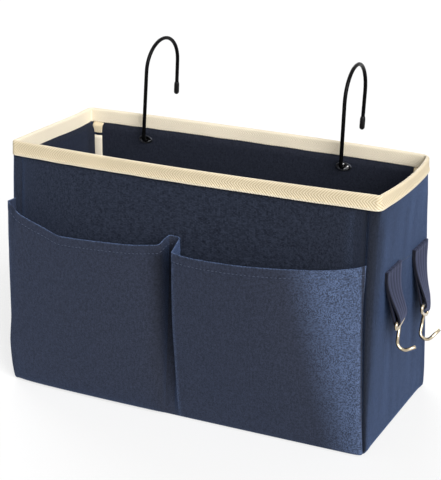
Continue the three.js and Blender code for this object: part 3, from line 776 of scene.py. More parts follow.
def smooth_through(marks, at):
    """The value at a place on a smooth curve through (place, value) marks."""
    k = 0
    while k < len(marks) - 2 and at > marks[k + 1][0]:
        k += 1
    before = marks[max(k - 1, 0)]
    start = marks[k]
    end = marks[k + 1]
    after = marks[min(k + 2, len(marks) - 1)]
    span = end[0] - start[0]
    rise_start = (end[1] - before[1]) / (end[0] - before[0]) * span
    rise_end = (after[1] - start[1]) / (after[0] - start[0]) * span
    s = (at - start[0]) / span
    from_start = start[1] * (1 + 2 * s) + rise_start * s
    from_end = end[1] * (3 - 2 * s) + rise_end * (s - 1)
    return from_start * (1 - s) ** 2 + from_end * s * s


def denser_at_ends(u):
    """Spreads even steps from 0 to 1 so that they lie closer at both ends."""
    return u - 0.9 * math.sin(2 * math.pi * u) / (2 * math.pi)


# Canvas panels of the box

def wall_panel(name, from_share, to_share, columns):
    """One canvas panel between two corner seams; each share says where its seam lies at a height."""
    bottom = 0.4
    rows = 110
    width = (to_share(HEIGHT / 2) - from_share(HEIGHT / 2)) * RIM_GIRTH

    def place(across, up):
        z = bottom + (WALL_TOP - bottom) * up
        start = from_share(z)
        end = to_share(z)
        share = start + (end - start) * denser_at_ends(across)
        point, facing = wall_frame(share, z)
        return point + facing * canvas_out(share, z), (across * (end - start) * RIM_GIRTH, z)

    def wear_and_painted_light(across, up):
        from_start = denser_at_ends(across) * width
        from_end = width - from_start
        from_seam = min(from_start, from_end)
        below_tape = HEIGHT - TAPE_OUTSIDE - bottom - (WALL_TOP - bottom) * up
        # Painted shade along the seams' valleys: a narrow dark line inside a wider darker band, slighter at
        # the front's left seam
        painted_shade = SEAM_VALLEY_SHADE * near(from_seam, NARROW_SHADE_WIDTH) + SEAM_SHADE * near(from_seam, SEAM_SHADE_WIDTH)
        if (name == "front" and across < 0.5) or (name == "left" and across > 0.5):
            painted_shade *= SLIGHT_SEAM
        # Painted shade: the whole right panel is drawn darker
        if name == "right":
            painted_shade += SIDE_SHADE
        # Painted shadow on the canvas just under the rim tape's lower edge
        painted_shade = max(painted_shade, TAPE_SHADE * near(max(below_tape, 0), NARROW_SHADE_WIDTH))
        # The front is made paler in a band near its right seam
        wear_and_painted_light_tone = 0.0
        if name == "front":
            wear_and_painted_light_tone = FRONT_PALER * near(from_end - FRONT_PALER_FROM_SEAM, FRONT_PALER_WIDTH)
        return wear_and_painted_light_tone - painted_shade

    panel = wall_layer(name, "canvas", "cloth", cloth_grid(columns, rows, place, wear_and_painted_light), navy_canvas, CANVAS)


def eyelet_sink(hook):
    """How far below its mark on the wall an eyelet sits: the wire swings close to the foot of its bore."""
    mark = Vector((hook["eyelet_x"], EYELET_Y, EYELET_HEIGHT))
    return hook["drop"] + HOOK_WIRE + hook["play"] - hook["oval"].y * EYELET_BORE + give(mark).z


def cut_eyelet_holes(bm):
    """Cuts an oval hole for each eyelet out of a sheet of the back wall."""
    sides = 16
    reach = 3 * EYELET_HOLE
    for hook in HOOKS.values():
        centre = Vector((hook["eyelet_x"], EYELET_Y, EYELET_HEIGHT - eyelet_sink(hook)))
        half_width, half_height = hook["oval"] * EYELET_HOLE
        for k in range(sides):
            angle = 2 * math.pi * k / sides
            edge = Vector((half_width * math.cos(angle), 0, half_height * math.sin(angle)))
            direction = Vector((math.cos(angle) / half_width, 0, math.sin(angle) / half_height))
            close = [face for face in bm.faces if (face.calc_center_median() - centre).length < reach]
            geom = dict.fromkeys(close)
            for face in close:
                geom.update(dict.fromkeys([*face.edges, *face.verts]))
            bmesh.ops.bisect_plane(bm, geom=list(geom), plane_co=centre + edge, plane_no=direction)
        inside = []
        for face in bm.faces:
            away = face.calc_center_median() - centre
            if math.hypot(away.x / half_width, away.z / half_height) < 0.99:
                inside.append(face)
        bmesh.ops.delete(bm, geom=inside, context="FACES")


def wall_layer(wall, layer, form, bm, material, thickness):
    """Finishes one layer of a wall; the back's layers are cut out for the eyelets."""
    if wall == "back":
        cut_eyelet_holes(bm)
    piece = add_piece(f"{wall}_{layer}_{form}", settle(bm), material, "caddy", [f"{wall}_{layer}"])
    thicken(piece, thickness)
    return piece


wall_panel("front", lambda z: -seam_share(z), seam_share, 72)
wall_panel("right", seam_share, lambda z: 1 - seam_share(z), 60)
wall_panel("back", lambda z: 1 - seam_share(z), lambda z: 1 + seam_share(z), 72)
wall_panel("left", lambda z: 1 + seam_share(z), lambda z: 2 - seam_share(z), 60)


def base_canvas():
    """The canvas under the base: rounded corners, and a front edge that bows with the front."""
    inset = 2.2
    corner_reach = 7.0
    corner_radius = 4.8

    def place(across, up):
        x = (across - 0.5) * 2 * (HALF_WIDTH - inset)
        front = inset - half_depth(0) - foot_bow(x, 0) * 0.9
        back = half_depth(0) - inset
        y = back + (front - back) * up
        corner_x = max(abs(x) - (HALF_WIDTH - corner_reach), 0)
        corner_y = max(abs(y) - (half_depth(0) - corner_reach), 0)
        pull = max(math.hypot(corner_x, corner_y) / corner_radius, 1)
        x = math.copysign(abs(x) - corner_x * (1 - 1 / pull), x)
        y = math.copysign(abs(y) - corner_y * (1 - 1 / pull), y)
        z = CANVAS_SWELL + CANVAS_SWELL * softness((x, y, 0), 60, 9.0)
        return Vector((x, y, z)), (across * 2 * HALF_WIDTH, up * 2 * half_depth(0))

    bm = cloth_grid(60, 30, place)
    base = add_piece("base_canvas_cloth", bm, navy_canvas, "caddy", ["base_canvas"])
    thicken(base, CANVAS)


base_canvas()


# Stiffener boards

def board_sheet(name, from_share, to_share):
    """A wall's board, between its canvas and its lining."""
    def place(across, up):
        z = LINING_FLOOR + (BOARD_TOP - LINING_FLOOR) * up
        share = from_share + (to_share - from_share) * across
        point, facing = wall_frame(share, z)
        spot = (across * (to_share - from_share) * RIM_GIRTH, z)
        return point - facing * (CANVAS + LAYER_GAP), spot

    wall_layer(name, "board", "sheet", cloth_grid(60, 36, place), greyboard, BOARD)


FLAT_FRONT = (RIM_MARKS[1] - 1) / RIM_GIRTH
FLAT_SIDE = (RIM_MARKS[2] + 1) / RIM_GIRTH
board_sheet("front", -FLAT_FRONT, FLAT_FRONT)
board_sheet("right", FLAT_SIDE, 1 - FLAT_SIDE)
board_sheet("back", 1 - FLAT_FRONT, 1 + FLAT_FRONT)
board_sheet("left", 1 + FLAT_SIDE, 2 - FLAT_SIDE)


# Lining

def lining_depth(z):
    """From the wall's outer face to the lining's inner one: less where the board has ended."""
    past_board = unit((z - BOARD_TOP - 0.3) / 3)
    return WALL - (WALL - RIM_WALL) * ease(past_board)


def lining_panel(name, corner_a, corner_b):
    """One flat panel of lining between two corners of the inside, its face towards the inside.

    The side panels swell into a soft fold beside the back wall.
    """
    side_fold = 3.6
    side_fold_width = 5.0

    def place(across, up):
        z = LINING_FLOOR - LINING + (WALL_TOP - LINING_FLOOR + LINING) * up
        half_width = HALF_WIDTH - lining_depth(z)
        depth = half_depth(z) - lining_depth(z)
        a = Vector((corner_a[0] * half_width, corner_a[1] * depth, z))
        b = Vector((corner_b[0] * half_width, corner_b[1] * depth, z))
        span = (b - a).length
        point = a.lerp(b, across)
        facing = Vector((0, 0, 1)).cross(b - a).normalized() * -1
        bulge = LINING_SWELL + LINING_SWELL * softness(point, 50, 17.0)
        bulge *= min(min(across, 1 - across) * span / 12, 1)
        if name in ("left", "right"):
            from_back = half_depth(z) - point.y
            below_tape = unit((HEIGHT - TAPE_INSIDE - z) / 8)
            bulge += side_fold * below_tape * near(max(from_back - WALL, 0), side_fold_width)
        return point + facing * bulge, (across * span, z)

    panel = wall_layer(name, "lining", "cloth", cloth_grid(60, 84, place), navy_lining, LINING)


lining_panel("front", (1, -1), (-1, -1))
lining_panel("back", (-1, 1), (1, 1))
lining_panel("left", (-1, -1), (-1, 1))
lining_panel("right", (1, 1), (1, -1))


def base_lining():
    """The lining that lies on the base board."""
    def place(across, up):
        x = (across - 0.5) * 2 * (HALF_WIDTH - WALL - LAYER_GAP)
        y = (up - 0.5) * 2 * (half_depth(LINING_FLOOR) - WALL - LAYER_GAP)
        z = LINING_FLOOR + 0.2 + 0.2 * softness((x, y, 0), 50, 23.0)
        return Vector((x, y, z)), (across * 322, up * 140)

    bm = cloth_grid(48, 24, place)
    base = add_piece("base_lining_cloth", bm, navy_lining, "caddy", ["base_lining"])
    thicken(base, LINING)


base_lining()


# Pocket strip

def pocket_columns():
    """Where the strip's columns stand: a pocket and how far along its gusset or its face."""
    gusset = [0, 0.08, 0.2, 0.4, 0.6, 0.8, 0.92, 0.97]
    face = [0, 0.006, 0.02, 0.045]
    face += [0.045 + 0.91 * (i + 1) / 46 for i in range(46)]
    face += [0.965, 0.975, 0.984, 0.99, 0.994, 0.997, 0.999, 1]
    columns = []
    for pocket in (LEFT_POCKET, RIGHT_POCKET):
        columns += [(pocket, "gusset", share) for share in gusset]
        columns += [(pocket, "face", share) for share in face]
    return columns


def pocket_rows():
    """Where the strip's rows lie, 0 at its foot and 1 at its hem: closer at the foot and the hem."""
    rows = [0, 0.008, 0.02, 0.04, 0.065]
    rows += [0.1 + 0.82 * i / 24 for i in range(25)]
    rows += [0.935, 0.944, 0.949, 0.954, 0.965, 0.978, 0.986, 0.991, 0.9945, 0.997, 0.9988, 1]
    return rows


POCKET_COLUMNS = pocket_columns()
POCKET_ROWS = pocket_rows()


def pocket_hem_point(pocket, kind, along):
    """A point of the strip's upper edge: x, x where the strip lies flat at its foot, standing off, height."""
    start = pocket["start_x"]
    fold = start + pocket["fold_shift"]
    flat_fold = start + pocket["flat_width"]
    if kind == "gusset":
        fold_height = pocket["hem"][0][1]
        return (
            start + (fold - start) * along,
            start + (flat_fold - start) * along,
            pocket["fold_depth"] * along,
            pocket["start_height"] + (fold_height - pocket["start_height"]) * along,
        )
    stand = pocket["fold_depth"] + (pocket["end_depth"] - pocket["fold_depth"]) * along
    stand += pocket["bulge"] * arch(along)
    return (
        fold + (pocket["end_x"] - fold) * along,
        flat_fold + (pocket["end_x"] - flat_fold) * along,
        stand * (1 - along ** pocket["end_turn"]),
        smooth_through(pocket["hem"], along),
    )


def pocket_point(column, up):
    """A point of the strip's outer face; column may lie between two of its columns."""
    k = min(int(column), len(POCKET_COLUMNS) - 2)
    before = Vector(pocket_hem_point(*POCKET_COLUMNS[k]))
    after = Vector(pocket_hem_point(*POCKET_COLUMNS[k + 1]))
    x, flat_x, stand, height = before.lerp(after, column - k)
    pocket, kind, along = POCKET_COLUMNS[k]
    if kind == "face" and pocket is LEFT_POCKET:
        stand *= 1 - LEFT_END_SINK * along ** 30 * (1 - up ** 4)
    z = POCKET_FOOT + (height - POCKET_FOOT) * up
    swell = math.sin(math.pi / 2 * up) ** pocket["fullness"]
    # The ends follow the corner seams as they drift
    level_x = flat_x + (x - flat_x) * swell
    end_share = unit((abs(level_x) - (POCKET_END_X - POCKET_END_RUN)) / POCKET_END_RUN)
    level_x += math.copysign((seam_x(z) - POCKET_END_X) * end_share ** 2, level_x)
    level_x = max(level_x, -POCKET_LEFT_LIMIT - up)
    wall_share = min(max(level_x / RIM_GIRTH, -seam_share(z)), seam_share(z))
    point, facing = wall_frame(wall_share, z)
    point.x += level_x - min(max(level_x, -seam_x(z)), seam_x(z))
    # The strip stands off the canvas, a little uneven, and is one step thicker in its hem
    out = stand * swell + foot_bow(level_x, up) + canvas_out(wall_share, z)
    out += LAYER_GAP + CANVAS
    out += POCKET_UNEVEN * softness((level_x, 0, z), 38, 31.0) * min(stand * swell / 6, 1)
    out += HEM_STEP / (1 + math.exp((height - z - HEM_WIDTH) * 2.5))
    return point + facing * out


def pocket_strip():
    """The strip across the front: two pockets, with a pleat at the left of each."""
    last = len(POCKET_COLUMNS) - 1
    top = len(POCKET_ROWS) - 1
    spread = path_lengths([pocket_point(k, 1) for k in range(last + 1)])

    def place(across, up):
        k = round(across * last)
        row = POCKET_ROWS[round(up * top)]
        return pocket_point(k, row), (spread[k], row * POCKET_HEIGHT)

    def wear_and_painted_light(across, up):
        k = round(across * last)
        row = POCKET_ROWS[round(up * top)]
        pocket, kind, along = POCKET_COLUMNS[k]
        point = pocket_point(k, row)
        # The hem's top edge and the pleat's fold edge are made paler
        hem_edge_paler = 0.2 * near((1 - row) * POCKET_HEIGHT, 0.6)
        fold_edge_paler = 0.08 if kind == "face" and along <= 0.006 else 0.0
        # Painted light: the right pocket grows paler towards its right end, beyond a slanting line
        painted_light_right_end = 0.0
        if pocket is RIGHT_POCKET:
            crease_x = 96 + 0.22 * (146 - point.z)
            painted_light_right_end = 0.22 * ease(unit((point.x - crease_x) / 40))
        # Painted shade where the strip meets the corner seams
        painted_shade = 0.5 * near(seam_x(point.z) - abs(point.x), 0.7)
        # Painted shadow of the right pocket's pleat on the left pocket's right end, stronger towards the hem
        if kind == "face" and pocket is LEFT_POCKET:
            from_pleat = (1 - along) * (pocket["end_x"] - pocket["start_x"])
            below_hem = min((1 - row) / 0.07, 1)
            painted_shade += (0.15 + 0.6 * row) * below_hem * near(from_pleat - 1.5, 9)
        return max(hem_edge_paler, fold_edge_paler, painted_light_right_end) - painted_shade

    bm = cloth_grid(last, top, place, wear_and_painted_light)
    strip = add_piece("pocket_strip_cloth", settle(bm), pocket_canvas, "caddy", ["pocket_strip"])
    thicken(strip, CANVAS, 1)


pocket_strip()


def pocket_stitches():
    """The row of stitches along the strip's hem."""
    bm = bmesh.new()
    last = len(POCKET_COLUMNS) - 1
    line = []
    steps = 400
    for i in range(steps + 1):
        column = last * i / steps
        k = min(int(column), last - 1)
        height = pocket_hem_point(*POCKET_COLUMNS[k])[3]
        point = pocket_point(column, 1 - (HEM_WIDTH - 0.6) / height)
        line.append(point + Vector((0, -0.15, 0)))
    stitch_row(bm, line, lambda point: Vector((0, -1, SPLAY)), *HEM_STITCH)
    add_piece("pocket_hem_stitches", settle(bm), navy_thread, "caddy")


pocket_stitches()


# Tapes

def tape_section():
    """Across the rim tape, from its outer lower edge over the rim to its inner one: outward and height."""
    inner = -(RIM_WALL + TAPE)
    r = (TAPE_OUT - inner) / 2
    points = [(TAPE_OUT, HEIGHT - TAPE_OUTSIDE)]
    for i in range(17):
        angle = math.pi * i / 16
        points.append((TAPE_OUT - r + r * math.cos(angle), HEIGHT - r + r * math.sin(angle)))
    points.append((inner, HEIGHT - TAPE_INSIDE))
    return points


def rim_shares():
    """Where the rim tape's columns stand round the rim: closer at the corners."""
    shares = []
    for k, steps in enumerate((60, 12, 40, 12, 60)):
        step = (RIM_MARKS[k + 1] - RIM_MARKS[k]) / steps
        shares += [(RIM_MARKS[k] + step * i) / RIM_GIRTH for i in range(steps)]
    shares.append(1.0)
    return [-share for share in reversed(shares[1:])] + shares


def rim_tape():
    """One tape, folded over the rim all the way round."""
    shares = rim_shares()
    columns = len(shares) - 1
    rows = 34
    section = tape_section()
    lengths = path_lengths(section)
    width = lengths[-1]

    def place(across, up):
        share = shares[round(across * columns)]
        distance = width * up
        out, z = along_path(section, lengths, distance)
        point, facing = wall_frame(share, z)
        sharp = in_corner(facing)
        if point.y < 0 and up < 0.6:
            out += FRONT_CREASE * sharp
        if point.y > 0 and up > 0.6:
            out += BACK_CREASE * sharp
        out += TAPE_FLARE * near(distance, TAPE_EDGE / 2) * (1 - sharp)
        inner_edge = near(width - distance, TAPE_EDGE)
        uneven = softness(point, 22, 41.0) * (near(distance, TAPE_EDGE) + inner_edge)
        point = point + facing * (out + 0.2 * uneven)
        point.z += 0.35 * uneven
        point.z -= TAPE_LOWER_AT_LEFT * max(-facing.x, 0) ** 2 * inner_edge
        return point, ((share + 1) * RIM_GIRTH, distance)

    def wear_and_painted_light(across, up):
        selvedge = 0.85 * near(min(up, 1 - up) * width, 0.9)
        # Painted light: the tape's inner half, inside the box, is drawn paler
        painted_light_inside = 0.68 * unit((up - 0.42) / 0.15)
        return max(selvedge, painted_light_inside)

    bm = cloth_grid(columns, rows, place, wear_and_painted_light)
    bmesh.ops.remove_doubles(bm, verts=bm.verts, dist=0.01)
    tape = add_piece("rim_tape", settle(bm), cream_tape, "caddy", ["rim_binding"])
    thicken(tape, TAPE)


rim_tape()


def rim_stitches():
    """The row near the tape's outer lower edge, all the way round."""
    from_edge = 1.8
    proud = TAPE_OUT + 0.55
    steps = 400
    line = []
    for i in range(steps + 1):
        point, facing = wall_frame(2 * i / steps - 1, HEIGHT - TAPE_OUTSIDE + from_edge)
        line.append(point + facing * proud)

    def outward(point):
        if abs(point.x) > HALF_WIDTH - 1:
            return Vector((math.copysign(1, point.x), 0, 0))
        return Vector((0, math.copysign(1, point.y), 0))

    bm = bmesh.new()
    stitch_row(bm, line, outward, *RIM_STITCH)
    add_piece("rim_stitches", settle(bm), cream_thread, "caddy")


rim_stitches()


def corner_tape(facing_name, facing, side_name, side):
    """A folded tape down an inside corner, with a short tab above it that runs under the rim tape."""
    shift = -1.5 if side < 0 else 1.0
    outer_x = HALF_WIDTH - WALL - LAYER_GAP + shift
    width = CORNER_TAPE_WIDTH
    bottom = LINING_FLOOR + 0.4
    tab_top = HEIGHT - TAPE_INSIDE + 1.2

    def strip_place(across, up):
        z = bottom + (CORNER_TAPE_TOP - bottom) * up
        x = side * (outer_x - width * across)
        y = facing * (half_depth(z) - WALL - LAYER_GAP - TAPE - 0.5 * arch(across))
        x += 0.35 * softness((0, facing * 9, z), 30, 50 + side)
        if side * facing > 0:
            x = side * (2 * outer_x - width) - x
        return Vector((x, y, z)), (width * (across + 0.3), z)

    def tab_place(across, up):
        z = TAB_FOOT + (tab_top - TAB_FOOT) * up
        tab_width = TAB_WIDTH + TAB_SPREAD * up
        x = side * (outer_x + TAB_SHIFT - tab_width * across)
        depth = lining_depth(z) + (LAYER_GAP + TAPE) * (1 - up ** 6)
        y = facing * (half_depth(z) - depth - 0.4 * arch(across) * (1 - up))
        if side * facing > 0:
            x = side * (2 * outer_x + 2 * TAB_SHIFT - tab_width) - x
        return Vector((x, y, z)), (tab_width * across, z)

    name = f"corner_{facing_name}_{side_name}"
    tab = add_piece(f"{name}_tab", settle(cloth_grid(8, 16, tab_place)), cream_tape, "caddy")
    thicken(tab, TAPE)
    strip_bm = cloth_grid(8, 60, strip_place, lambda across, up: 0.8)
    node = f"corner_binding_{facing_name}_{side_name}"
    strip = add_piece(f"{name}_tape", settle(strip_bm), cream_tape, "caddy", [node])
    thicken(strip, TAPE)


for facing_name, facing in (("front", -1), ("back", 1)):
    for side_name, side in (("left", -1), ("right", 1)):
        corner_tape(facing_name, facing, side_name, side)


# Eyelets

def washer_plate(oval, wire, slack):
    """The washer's plate across the eyelet, with a hole low in it for the wire."""
    bm = bmesh.new()
    depth = Matrix.Translation((0, 0, PLATE_DEPTH))
    hole = depth @ Matrix.Translation(wire)
    for radius, matrix in ((EYELET_BORE + 0.3, depth @ oval), (HOOK_WIRE + slack, hole)):
        bmesh.ops.create_circle(bm, segments=40, radius=radius, matrix=matrix)
    bmesh.ops.bridge_loops(bm, edges=bm.edges[:])
    bmesh.ops.recalc_face_normals(bm, faces=bm.faces)
    bmesh.ops.solidify(bm, geom=bm.faces[:], thickness=0.4)
    return bm


def eyelets():
    """Each eyelet's rolled ring and its washer, flattened into ovals and tilted with the back wall."""
    to_wall = Matrix.Rotation(WALL_TILT, 4, "X") @ Matrix.Rotation(-math.pi / 2, 4, "X")
    inside = 2.494
    lip = 3.594
    bead = 5.325
    bead_radius = 1.075
    sleeve = 4.85
    ring = [(EYELET_BORE, lip + 0.4), (EYELET_BORE, -inside + 0.3)]
    for i in range(9):
        angle = math.pi * (1 - i / 8)
        ring.append((bead + bead_radius * math.cos(angle), -inside - math.sin(angle)))
    ring += [(sleeve, -inside), (sleeve, lip)]
    ring += [(5.4, lip), (5.3, lip + 0.5), (4.8, lip + 0.7), ring[0]]
    washer = [(EYELET_HOLE, inside), (5.7, inside), (5.6, inside + 0.5), (5.3, inside + 0.8)]
    washer += [(EYELET_HOLE, inside + 0.8), washer[0]]
    for side_name, hook in HOOKS.items():
        mark = Vector((hook["eyelet_x"], EYELET_Y, EYELET_HEIGHT))
        moved = give(mark)
        wire_y = hook["drop"] + moved.z + PLATE_DEPTH * SPLAY + hook["play"] / 2
        wire = (hook["x"] - hook["eyelet_x"], wire_y, 0)
        place = Matrix.Translation(mark + moved) @ to_wall
        oval = Matrix.Translation((0, eyelet_sink(hook), 0)) @ Matrix.Diagonal((*hook["oval"], 1, 1))
        for name, profile in ((f"eyelet_{side_name}", ring), (f"eyelet_washer_{side_name}", washer)):
            bm = spun_ring(profile, 40)
            bmesh.ops.transform(bm, matrix=oval, verts=bm.verts)
            if profile is washer:
                join_into(bm, washer_plate(oval, wire, hook["slack"]))
            bmesh.ops.transform(bm, matrix=place, verts=bm.verts)
            bmesh.ops.recalc_face_normals(bm, faces=bm.faces)
            add_piece(f"{name}_ring", bm, gunmetal, "caddy", [name])


eyelets()


# Hanging hooks

def hanging_hook(side_name, hook):
    """One wire: the stop behind the wall, the run through the eyelet, the leg, the arch and the capped tip.

    It is drawn with its run along y through the origin, then leant and set in its eyelet.
    """
    body = f"hanger_{side_name}"
    place = (
        Matrix.Translation((hook["x"], EYELET_Y, EYELET_HEIGHT - hook["drop"]))
        @ Matrix.Rotation(math.radians(hook["lean"]), 4, "Y")
    )
    across = Vector((1, 0, 0))
    quarter = math.pi / 2
    leg_y = hook["leg_y"]
    leg = Matrix.Translation((0, leg_y, 0)) @ Matrix.Rotation(math.radians(-hook["turn"]), 4, "Z")
    radius = hook["arch"]
    reach = hook["reach"]
    top = hook["rise"] + hook["drop"]
    arch_z = top - radius
    stop_bend = Vector((0, HOOK_STOP_Y - HOOK_BEND, HOOK_BEND))
    leg_bend = Vector((0, leg_y + HOOK_BEND, HOOK_BEND))
    lean_in = math.atan2(hook["inward"], reach - radius)
    tip_down = leg.to_3x3() @ Vector((0, -math.sin(lean_in), -math.cos(lean_in)))
    moves = [
        ("straight", Vector((0, 0, HOOK_BEND - HOOK_STOP_RISE))),
        ("bend", stop_bend, across, -quarter),
        ("straight", leg_bend - stop_bend),
        ("bend", leg_bend, across, -quarter),
        ("straight", Vector((0, 0, arch_z - HOOK_BEND))),
        ("bend", leg @ Vector((0, radius, arch_z)), leg.to_3x3() @ across, -(2 * quarter + lean_in)),
        ("straight", tip_down * (reach - radius - 1)),
    ]
    bm = bent_wire((0, HOOK_STOP_Y, HOOK_STOP_RISE), (0, 0, -1), HOOK_WIRE, moves)
    bmesh.ops.transform(bm, matrix=place, verts=bm.verts)
    add_piece(f"hanging_hook_{side_name}", bm, black_wire, body, [f"hanger_hook_{side_name}"])

    profile = [(0.0, CAP_FOOT)]
    for i in range(1, 8):
        angle = quarter * i / 7
        profile.append((CAP_RADIUS * math.sin(angle), CAP_FOOT + CAP_RADIUS * (1 - math.cos(angle))))
    profile += [(CAP_RADIUS, 4.8), (2.3, 6.0), (2.05, 7.0), (1.85, 7.6), (1.65, 7.7), (1.55, 7.5)]
    cap = spun_ring(profile, 24)
    tip = leg @ Matrix.Translation((0, 2 * radius - hook["inward"], top - reach))
    bmesh.ops.transform(cap, matrix=place @ tip @ Matrix.Rotation(-lean_in, 4, "X"), verts=cap.verts)
    bmesh.ops.recalc_face_normals(cap, faces=cap.faces)
    add_piece(f"hook_tip_{side_name}", cap, black_vinyl, body, [f"hook_cap_{side_name}"])


for side_name, hook in HOOKS.items():
    hanging_hook(side_name, hook)


# Webbing loops

def strap_path(length, edge):
    """The loop's outer face from its top at the wall, round the bar and up again: out and height.

    edge is -1 at the front edge and 1 at the rear edge; the front edge leaves the wall sooner.
    """
    t = STRAP_THICKNESS
    outer_x = STRAP_FOLD_OUT + STRAP_FOLD_RADIUS
    points = [(-t, STRAP_TAIL), (-t, -STRAP_SEWN), (STRAP_FOLD_OUT - STRAP_FOLD_RADIUS, -length)]
    for i in range(1, 12):
        angle = math.pi * (1 + i / 12)
        points.append((
            STRAP_FOLD_OUT + STRAP_FOLD_RADIUS * math.cos(angle),
            STRAP_FOLD_RADIUS * math.sin(angle) - length,
        ))
    # The outer layer runs back to the wall in one long curve
    a = Vector((outer_x, -length))
    b = Vector((outer_x, -length * 0.8))
    c = Vector((t + 0.5, -length * (0.55 + 0.08 * edge)))
    d = Vector((t, -STRAP_SEWN))
    for i in range(25):
        s = i / 24
        points.append(a * (1 - s) ** 3 + b * 3 * s * (1 - s) ** 2 + c * 3 * s * s * (1 - s) + d * s ** 3)
    points.append((t, STRAP_TAIL))
    return points


def strap_turn(strap, x, y, z):
    """Hangs a point of the loop askew and sets it on the side.

    Towards the fold the loop's front edge hangs higher and stands further out.
    """
    length = strap["length"]
    down = unit((-z - STRAP_SEWN) / (length - STRAP_SEWN))
    middle = Vector((STRAP_FOLD_OUT * down, 0, max(z, -length)))
    turn = (
        Matrix.Rotation(math.radians(STRAP_FOLD_TURN * down), 3, "Z")
        @ Matrix.Rotation(math.radians(-strap["tilt"] * down), 3, "X")
    )
    hinge = Vector((STRAP_HINGE_X, strap["y"], strap["hinge_z"]))
    return hinge + middle + turn @ (Vector((x, y, z)) - middle)


def webbing_loop(place_name, strap):
    """A strap folded round the bar of its hook, both ends sewn to the side, which bends below its seam."""
    rows = 80
    pinch_from = 0.78
    paths = []
    for edge in (-1, 1):
        points = strap_path(strap["length"], edge)
        paths.append((points, path_lengths(points)))
    full = paths[0][1][-1]

    def place(across, up):
        edge = 2 * across - 1
        ends = [along_path(points, lengths, lengths[-1] * up) for points, lengths in paths]
        x, z = ends[0].lerp(ends[1], across)
        near_fold = unit((-z / strap["length"] - pinch_from) / (1 - pinch_from))
        y = edge * STRAP_WIDTH / 2 - strap["pinch"] * max(edge, 0) * near_fold
        return strap_turn(strap, x, y, z), (across * STRAP_WIDTH, full * up)

    bm = cloth_grid(20, rows, place)
    bmesh.ops.recalc_face_normals(bm, faces=bm.faces)
    node = f"strap_{place_name}"
    loop = add_piece(f"webbing_loop_{place_name}", bm, charcoal_webbing, None, [node])
    thicken(loop, STRAP_THICKNESS)
    made = bpy.data.meshes.new_from_object(loop.evaluated_get(bpy.context.evaluated_depsgraph_get()))
    loop.modifiers.clear()
    loop.data = made
    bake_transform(loop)


def strap_hook(place_name, strap):
    """A wire bail through the loop's fold with a shank that curves outwards."""
    across = Vector((1, 0, 0))
    along_bar = Vector((0, 1, 0))
    quarter = math.pi / 2
    past_middle = 2.0
    fall = math.atan2(SNAP_BAIL_DROP - SNAP_SIDE_DROP, SNAP_HALF_BAR)
    bar = SNAP_HALF_BAR - SNAP_BEND
    slope_run = Vector((0, -math.cos(fall), -math.sin(fall)))
    bail = bent_wire((0, 0, 0), along_bar, SNAP_WIRE, [
        ("straight", along_bar * bar),
        ("bend", Vector((0, bar, -SNAP_BEND)), across, -quarter),
        ("bend", Vector((0, bar, -SNAP_BEND)), across, -(quarter - fall)),
        ("straight", slope_run * (bar + past_middle)),
    ])
    # Half of the bail is cut off at its middle and mirrored
    bmesh.ops.bisect_plane(
        bail, geom=bail.verts[:] + bail.edges[:] + bail.faces[:], plane_co=(0, 0, 0), plane_no=(0, 1, 0),
        clear_inner=True,
    )
    caps = [face for face in bail.faces if abs(face.calc_center_median().y) < 0.01]
    bmesh.ops.delete(bail, geom=caps, context="FACES_ONLY")
    bmesh.ops.mirror(bail, geom=bail.verts[:] + bail.edges[:] + bail.faces[:], axis="Y", merge_dist=0.01)
    bmesh.ops.remove_doubles(bail, verts=bail.verts, dist=0.01)
    bmesh.ops.recalc_face_normals(bail, faces=bail.faces)

    sweep = math.radians(strap["sweep"])
    curve_z = -SNAP_BAIL_DROP - strap["shank"]
    tip = Vector((math.sin(sweep), 0, -math.cos(sweep)))
    shank = bent_wire((0, 0, -SNAP_BAIL_DROP + 0.6), (0, 0, -1), SNAP_WIRE, [
        ("straight", Vector((0, 0, -strap["shank"]))),
        ("bend", Vector((strap["curve"], 0, curve_z)), along_bar, -sweep),
        ("straight", tip * strap["tip"]),
    ])
    join_into(bail, shank)
    place = (
        Matrix.Translation((STRAP_HINGE_X + STRAP_FOLD_OUT, strap["y"], strap["hinge_z"] - strap["length"]))
        @ Matrix.Rotation(math.radians(STRAP_FOLD_TURN), 4, "Z")
        @ Matrix.Rotation(math.radians(-strap["tilt"]), 4, "X")
        @ Matrix.Translation((0, strap["slide"], 0))
        @ Matrix.Rotation(math.radians(strap["hang"]), 4, "Y")
    )
    bmesh.ops.transform(bail, matrix=place, verts=bail.verts)
    body = f"strap_hook_{place_name}"
    add_piece(f"strap_wire_hook_{place_name}", bail, pale_gold, body, [body])


def strap_stitches():
    """Each loop's sewn top, and the row that runs on along the side panel between the two."""
    bm = bmesh.new()
    proud = 0.75

    def outward(point):
        return Vector((1, 0, 0))

    for strap in STRAPS.values():
        line = []
        for i in range(21):
            y = (i / 10 - 1) * (STRAP_WIDTH / 2 - 1.5)
            line.append(strap_turn(strap, STRAP_THICKNESS + 0.05, y, STRAP_SEAM))
        stitch_row(bm, line, outward, *STRAP_STITCH)
    between = []
    for place_name, gap in (("front", STRAP_WIDTH / 2 + 1), ("rear", -STRAP_WIDTH / 2 - 1)):
        strap = STRAPS[place_name]
        between.append(Vector((HALF_WIDTH + proud, strap["y"] + gap, strap["hinge_z"] + STRAP_SEAM)))
    stitch_row(bm, between, outward, *STRAP_STITCH)
    add_piece("strap_stitches", bm, navy_thread, "caddy")


for place_name, strap in STRAPS.items():
    strap_hook(place_name, strap)
    webbing_loop(place_name, strap)
strap_stitches()


# The base board stays as packed and takes its board finish

base_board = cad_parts["base_board"]
base_board.data.materials.clear()
base_board.data.materials.append(greyboard)


# Floor, light and camera

WHITE = linear("#ffffff")
FLOOR_SIZE = 4.0
FLOOR_LIFT = 0.61
WORLD_LIGHT = 0.26
AIM = Vector((0, 0, 0.1))


